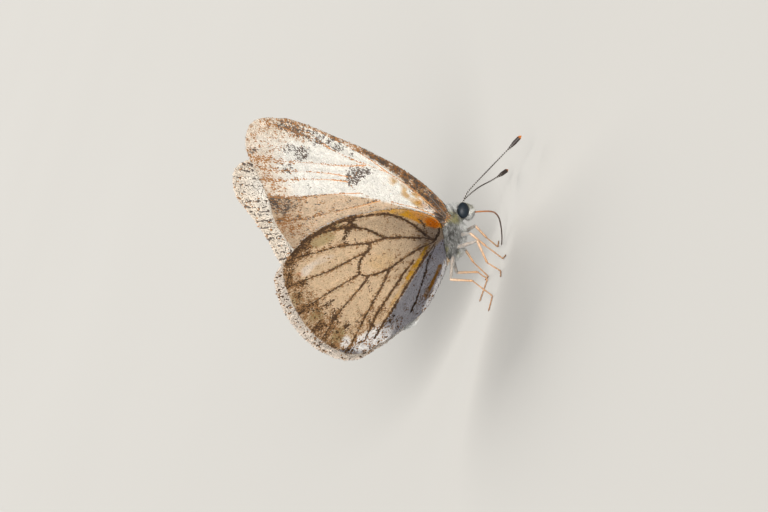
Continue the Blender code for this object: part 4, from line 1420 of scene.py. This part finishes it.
def segment(shape, start, end, radii, pale, reach, flatten=1.0):
    """One leg segment: a round-ended tube whose radius follows `radii` along it."""
    steps, sides = 18, 12
    share = (1 - np.cos(np.linspace(0, math.pi, steps))) / 2
    widths = taken_along(share, radii)
    ends = np.minimum(share, 1 - share) * np.linalg.norm(end - start) / widths
    widths = widths * np.sqrt(np.clip(1 - (1 - np.clip(ends, 0, 1)) ** 2, 0.01, 1))
    shape.add(*tube(start + np.outer(share, end - start), widths, sides, flatten),
              pale=np.repeat(taken_along(share, pale), sides), reach=reach)


def spine(shape, root, direction, length, radius):
    """A short pointed spine."""
    path = [root, root + direction * length * 0.5, root + direction * length]
    shape.add(*tube(path, (radius, radius * 0.7, radius * 0.1), 6), pale=0.0, reach=0.9)


def add_spurs(shape, knee, ankle):
    """Two spurs at the shin's end, and small spines that wind down it."""
    shin = unit(ankle - knee)
    for out in splayed(shin, 0.45):
        spine(shape, ankle - shin * 0.12, out, 0.34, 0.032)
    for k in range(SHIN_SPINES):
        out = about(shin, k * 2.4, (0, 1, 0))
        spine(shape, knee + (ankle - knee) * (0.25 + 0.07 * k), unit(0.8 * out + shin), 0.13, 0.014)


def add_foot(shape, ankle, contact, toe):
    """Five foot joints with a pair of spines each, and two claws."""
    foot = resample(spline([ankle, 0.5 * (ankle + contact), contact + (0, 0, 0.03),
                            0.55 * contact + 0.45 * toe, toe], 8), 0.02)
    foot[:, 2] = np.maximum(foot[:, 2], FOOT_RADIUS)
    for first, last in zip(FOOT_JOINTS, FOOT_JOINTS[1:]):
        part = foot[int(first * (len(foot) - 1)):int(last * (len(foot) - 1)) + 1]
        share = np.linspace(0, 1, len(part))
        radii = 0.068 + 0.026 * share ** 2 + 0.012 * np.exp(-((share - 0.04) / 0.05) ** 2)
        shape.add(*tube(part, np.minimum(radii, FOOT_RADIUS), 10), pale=0.0,
                  reach=0.1 + 0.5 * last)
        heading = unit((part[-1] - part[0]) * (1, 1, 0.1))
        for out in splayed(heading, 0.7):
            spine(shape, part[-1] - heading * 0.03, out, 0.10, 0.013)
    heading = unit(foot[-1] - foot[-4])
    for hand in (-1, 1):
        beside = hand * unit(np.cross(heading, (0, 0, 1)))
        claw = spline([foot[-1], foot[-1] + 0.09 * heading + 0.05 * beside + (0, 0, 0.02),
                       foot[-1] + 0.16 * heading + 0.08 * beside - (0, 0, 0.05)], 4)
        shape.add(*tube(claw, np.linspace(0.026, 0.006, len(claw)), 6), pale=0.0, reach=1.0)


def build_leg(place, side_name, finish, coat):
    """Thigh, shin, foot and claws, and a coat of pale hairs, thickest on the thigh."""
    rng = np.random.default_rng(sum(map(ord, place + side_name)))
    hip, knee, ankle, contact, toe = np.array(LEGS[place, side_name]) * (1, SIDES[side_name], 1)
    shape = Shape()
    segment(shape, hip, knee, THIGH_RADII, (0.3, 0.4), 0.9, flatten=0.85)
    segment(shape, knee - 0.08 * unit(ankle - knee), ankle, SHIN_RADII, (0.25, 0.0), 0.15)
    add_spurs(shape, knee, ankle)
    add_foot(shape, ankle, contact, toe)
    name = f"leg_{place}_{side_name}"
    shape.piece(f"{name}_joints", finish, "leg", [name])
    hairs = [leg_hairs(hip, knee, THIGH_RADII, THIGH_HAIRS // QUICK, 0.20, rng),
             leg_hairs(knee, ankle, SHIN_RADII, SHIN_HAIRS // QUICK, 0.12, rng)]
    on_shin = np.repeat((0, 1), [len(found[0]) for found in hairs])
    roots, normals, forward, chart, length = (np.concatenate(found) for found in zip(*hairs))
    count = len(roots)
    values = {"tone": rng.uniform(0.1, 0.8, count), "dark": 0.2 * (1 - on_shin),
              "warm": 0.3 * on_shin, "stripe": 0.35 * on_shin}
    form = (length, 0.014 - 0.005 * on_shin, np.radians(rng.normal(16, 5, count)), 0.06)
    add_hairs(f"{name}_scales", coat, (roots, normals, forward, chart), form, values)


def leg_hairs(start, end, radii, count, length, rng):
    """Hairs round one leg segment: roots, normals, headings, bake places and lengths."""
    share = rng.uniform(0.02, 0.97, count)
    forward = np.broadcast_to(unit(end - start), (count, 3))
    turn = rng.uniform(0, 2 * math.pi, count)
    normals = about(forward, turn[:, None], (0, 0.3, 1))
    radius = taken_along(share, radii)[:, None]
    roots = start + np.outer(share, end - start) + normals * radius * 0.85
    chart = np.column_stack([on_chart(share), on_chart(turn, FULL_TURN)])
    lengths = length * rng.uniform(0.7, 1.3, count) * (1.5 - 0.7 * share)
    return roots, normals, forward, chart, lengths


# ---------------------------------------------------------------- studio

VIEW_TURN = math.radians(-12)       # how far round the animal the camera stands
VIEW_HEIGHT = math.radians(9)
VIEW_ROLL = math.radians(71)
VIEW_DISTANCE = 450.0               # millimetres
VIEW_AIM = (0.0, 0.0, 12.5)
VIEW_WIDTH = 256 / 3                # the width of the view at the butterfly
SENSOR_WIDTH = 36.0
FLOOR_SIZE = 12.0                   # metres
# Lamps: where they shine from (metres from the aim), their spread in degrees, and their strength.
KEY_PLACE, KEY_SPREAD, KEY_STRENGTH = (0.16, 0.56, 0.34), 35, 2.6
KEY_COLOUR = (1.0, 0.97, 0.92)
FILL_PLACE, FILL_SPREAD, FILL_STRENGTH = (-0.12, -0.55, 0.19), 32, 7.0
FILL_COLOUR = (1.0, 0.985, 0.955)
ROOM_COLOUR = (0.93, 0.94, 0.95, 1.0)
ROOM_STRENGTH = 0.42


def add_camera():
    """The camera, rolled so that the head points right and the wings point left."""
    right = Vector((math.cos(VIEW_TURN), math.sin(VIEW_TURN), 0))
    back = Vector((math.sin(VIEW_TURN) * math.cos(VIEW_HEIGHT),
                   -math.cos(VIEW_TURN) * math.cos(VIEW_HEIGHT), math.sin(VIEW_HEIGHT)))
    y_axis, x_axis = turned(back.cross(right), right, VIEW_ROLL)
    lens = bpy.data.cameras.new("camera")
    lens.sensor_width = SENSOR_WIDTH
    lens.lens = SENSOR_WIDTH * VIEW_DISTANCE / VIEW_WIDTH
    lens.clip_start = 0.01
    camera = new_object("camera", lens)
    place = Vector(to_world(VIEW_AIM)) + back * VIEW_DISTANCE * MM
    turn = Matrix((x_axis, y_axis, back)).transposed().to_4x4()
    camera.matrix_world = Matrix.Translation(place) @ turn
    bpy.context.scene.camera = camera


def add_light(name, place, degrees, strength, colour):
    """A broad, distant, soft lamp that shines from `place` towards the butterfly."""
    lamp = bpy.data.lights.new(name, "SUN")
    lamp.angle = math.radians(degrees)
    lamp.energy = strength
    lamp.color = colour
    item = new_object(name, lamp)
    item.location = Vector(to_world(VIEW_AIM)) + Vector(place)
    item.rotation_euler = (-Vector(place)).to_track_quat("-Z", "Y").to_euler()


def build_studio():
    """Pale floor, a soft key from above and behind, and a broad fill from the camera's side."""
    mesh = bpy.data.meshes.new("studio_floor")
    half = FLOOR_SIZE / 2
    mesh.from_pydata([(-half, -half, 0), (half, -half, 0), (half, half, 0), (-half, half, 0)],
                     [], [(0, 1, 2, 3)])
    mesh.materials.append(floor_finish())
    floor = new_object("studio_floor", mesh)
    add_light("key", KEY_PLACE, KEY_SPREAD, KEY_STRENGTH, KEY_COLOUR)
    add_light("fill", FILL_PLACE, FILL_SPREAD, FILL_STRENGTH, FILL_COLOUR)
    world = bpy.data.worlds.new("studio")
    world.use_nodes = True
    room = world.node_tree.nodes["Background"]
    room.inputs["Color"].default_value = ROOM_COLOUR
    room.inputs["Strength"].default_value = ROOM_STRENGTH
    bpy.context.scene.world = world
    bpy.context.scene.view_settings.view_transform = "Standard"
    add_camera()


def main():
    """The studio, then the body with its coat, the head's parts, the legs and the wings."""
    build_studio()
    skin = build_skin()
    coat = hair_finish()
    build_thorax_hair(skin, coat)
    build_head_hair(skin, coat)
    build_abdomen_coat(skin, coat)
    build_eyes()
    build_antennae()
    build_proboscis()
    build_palps(coat)
    leg = horn_finish("leg", srgb(184, 140, 100), srgb(92, 64, 46), 0.5)
    for place, side_name in LEGS:
        build_leg(place, side_name, leg, coat)
    build_wings()


main()
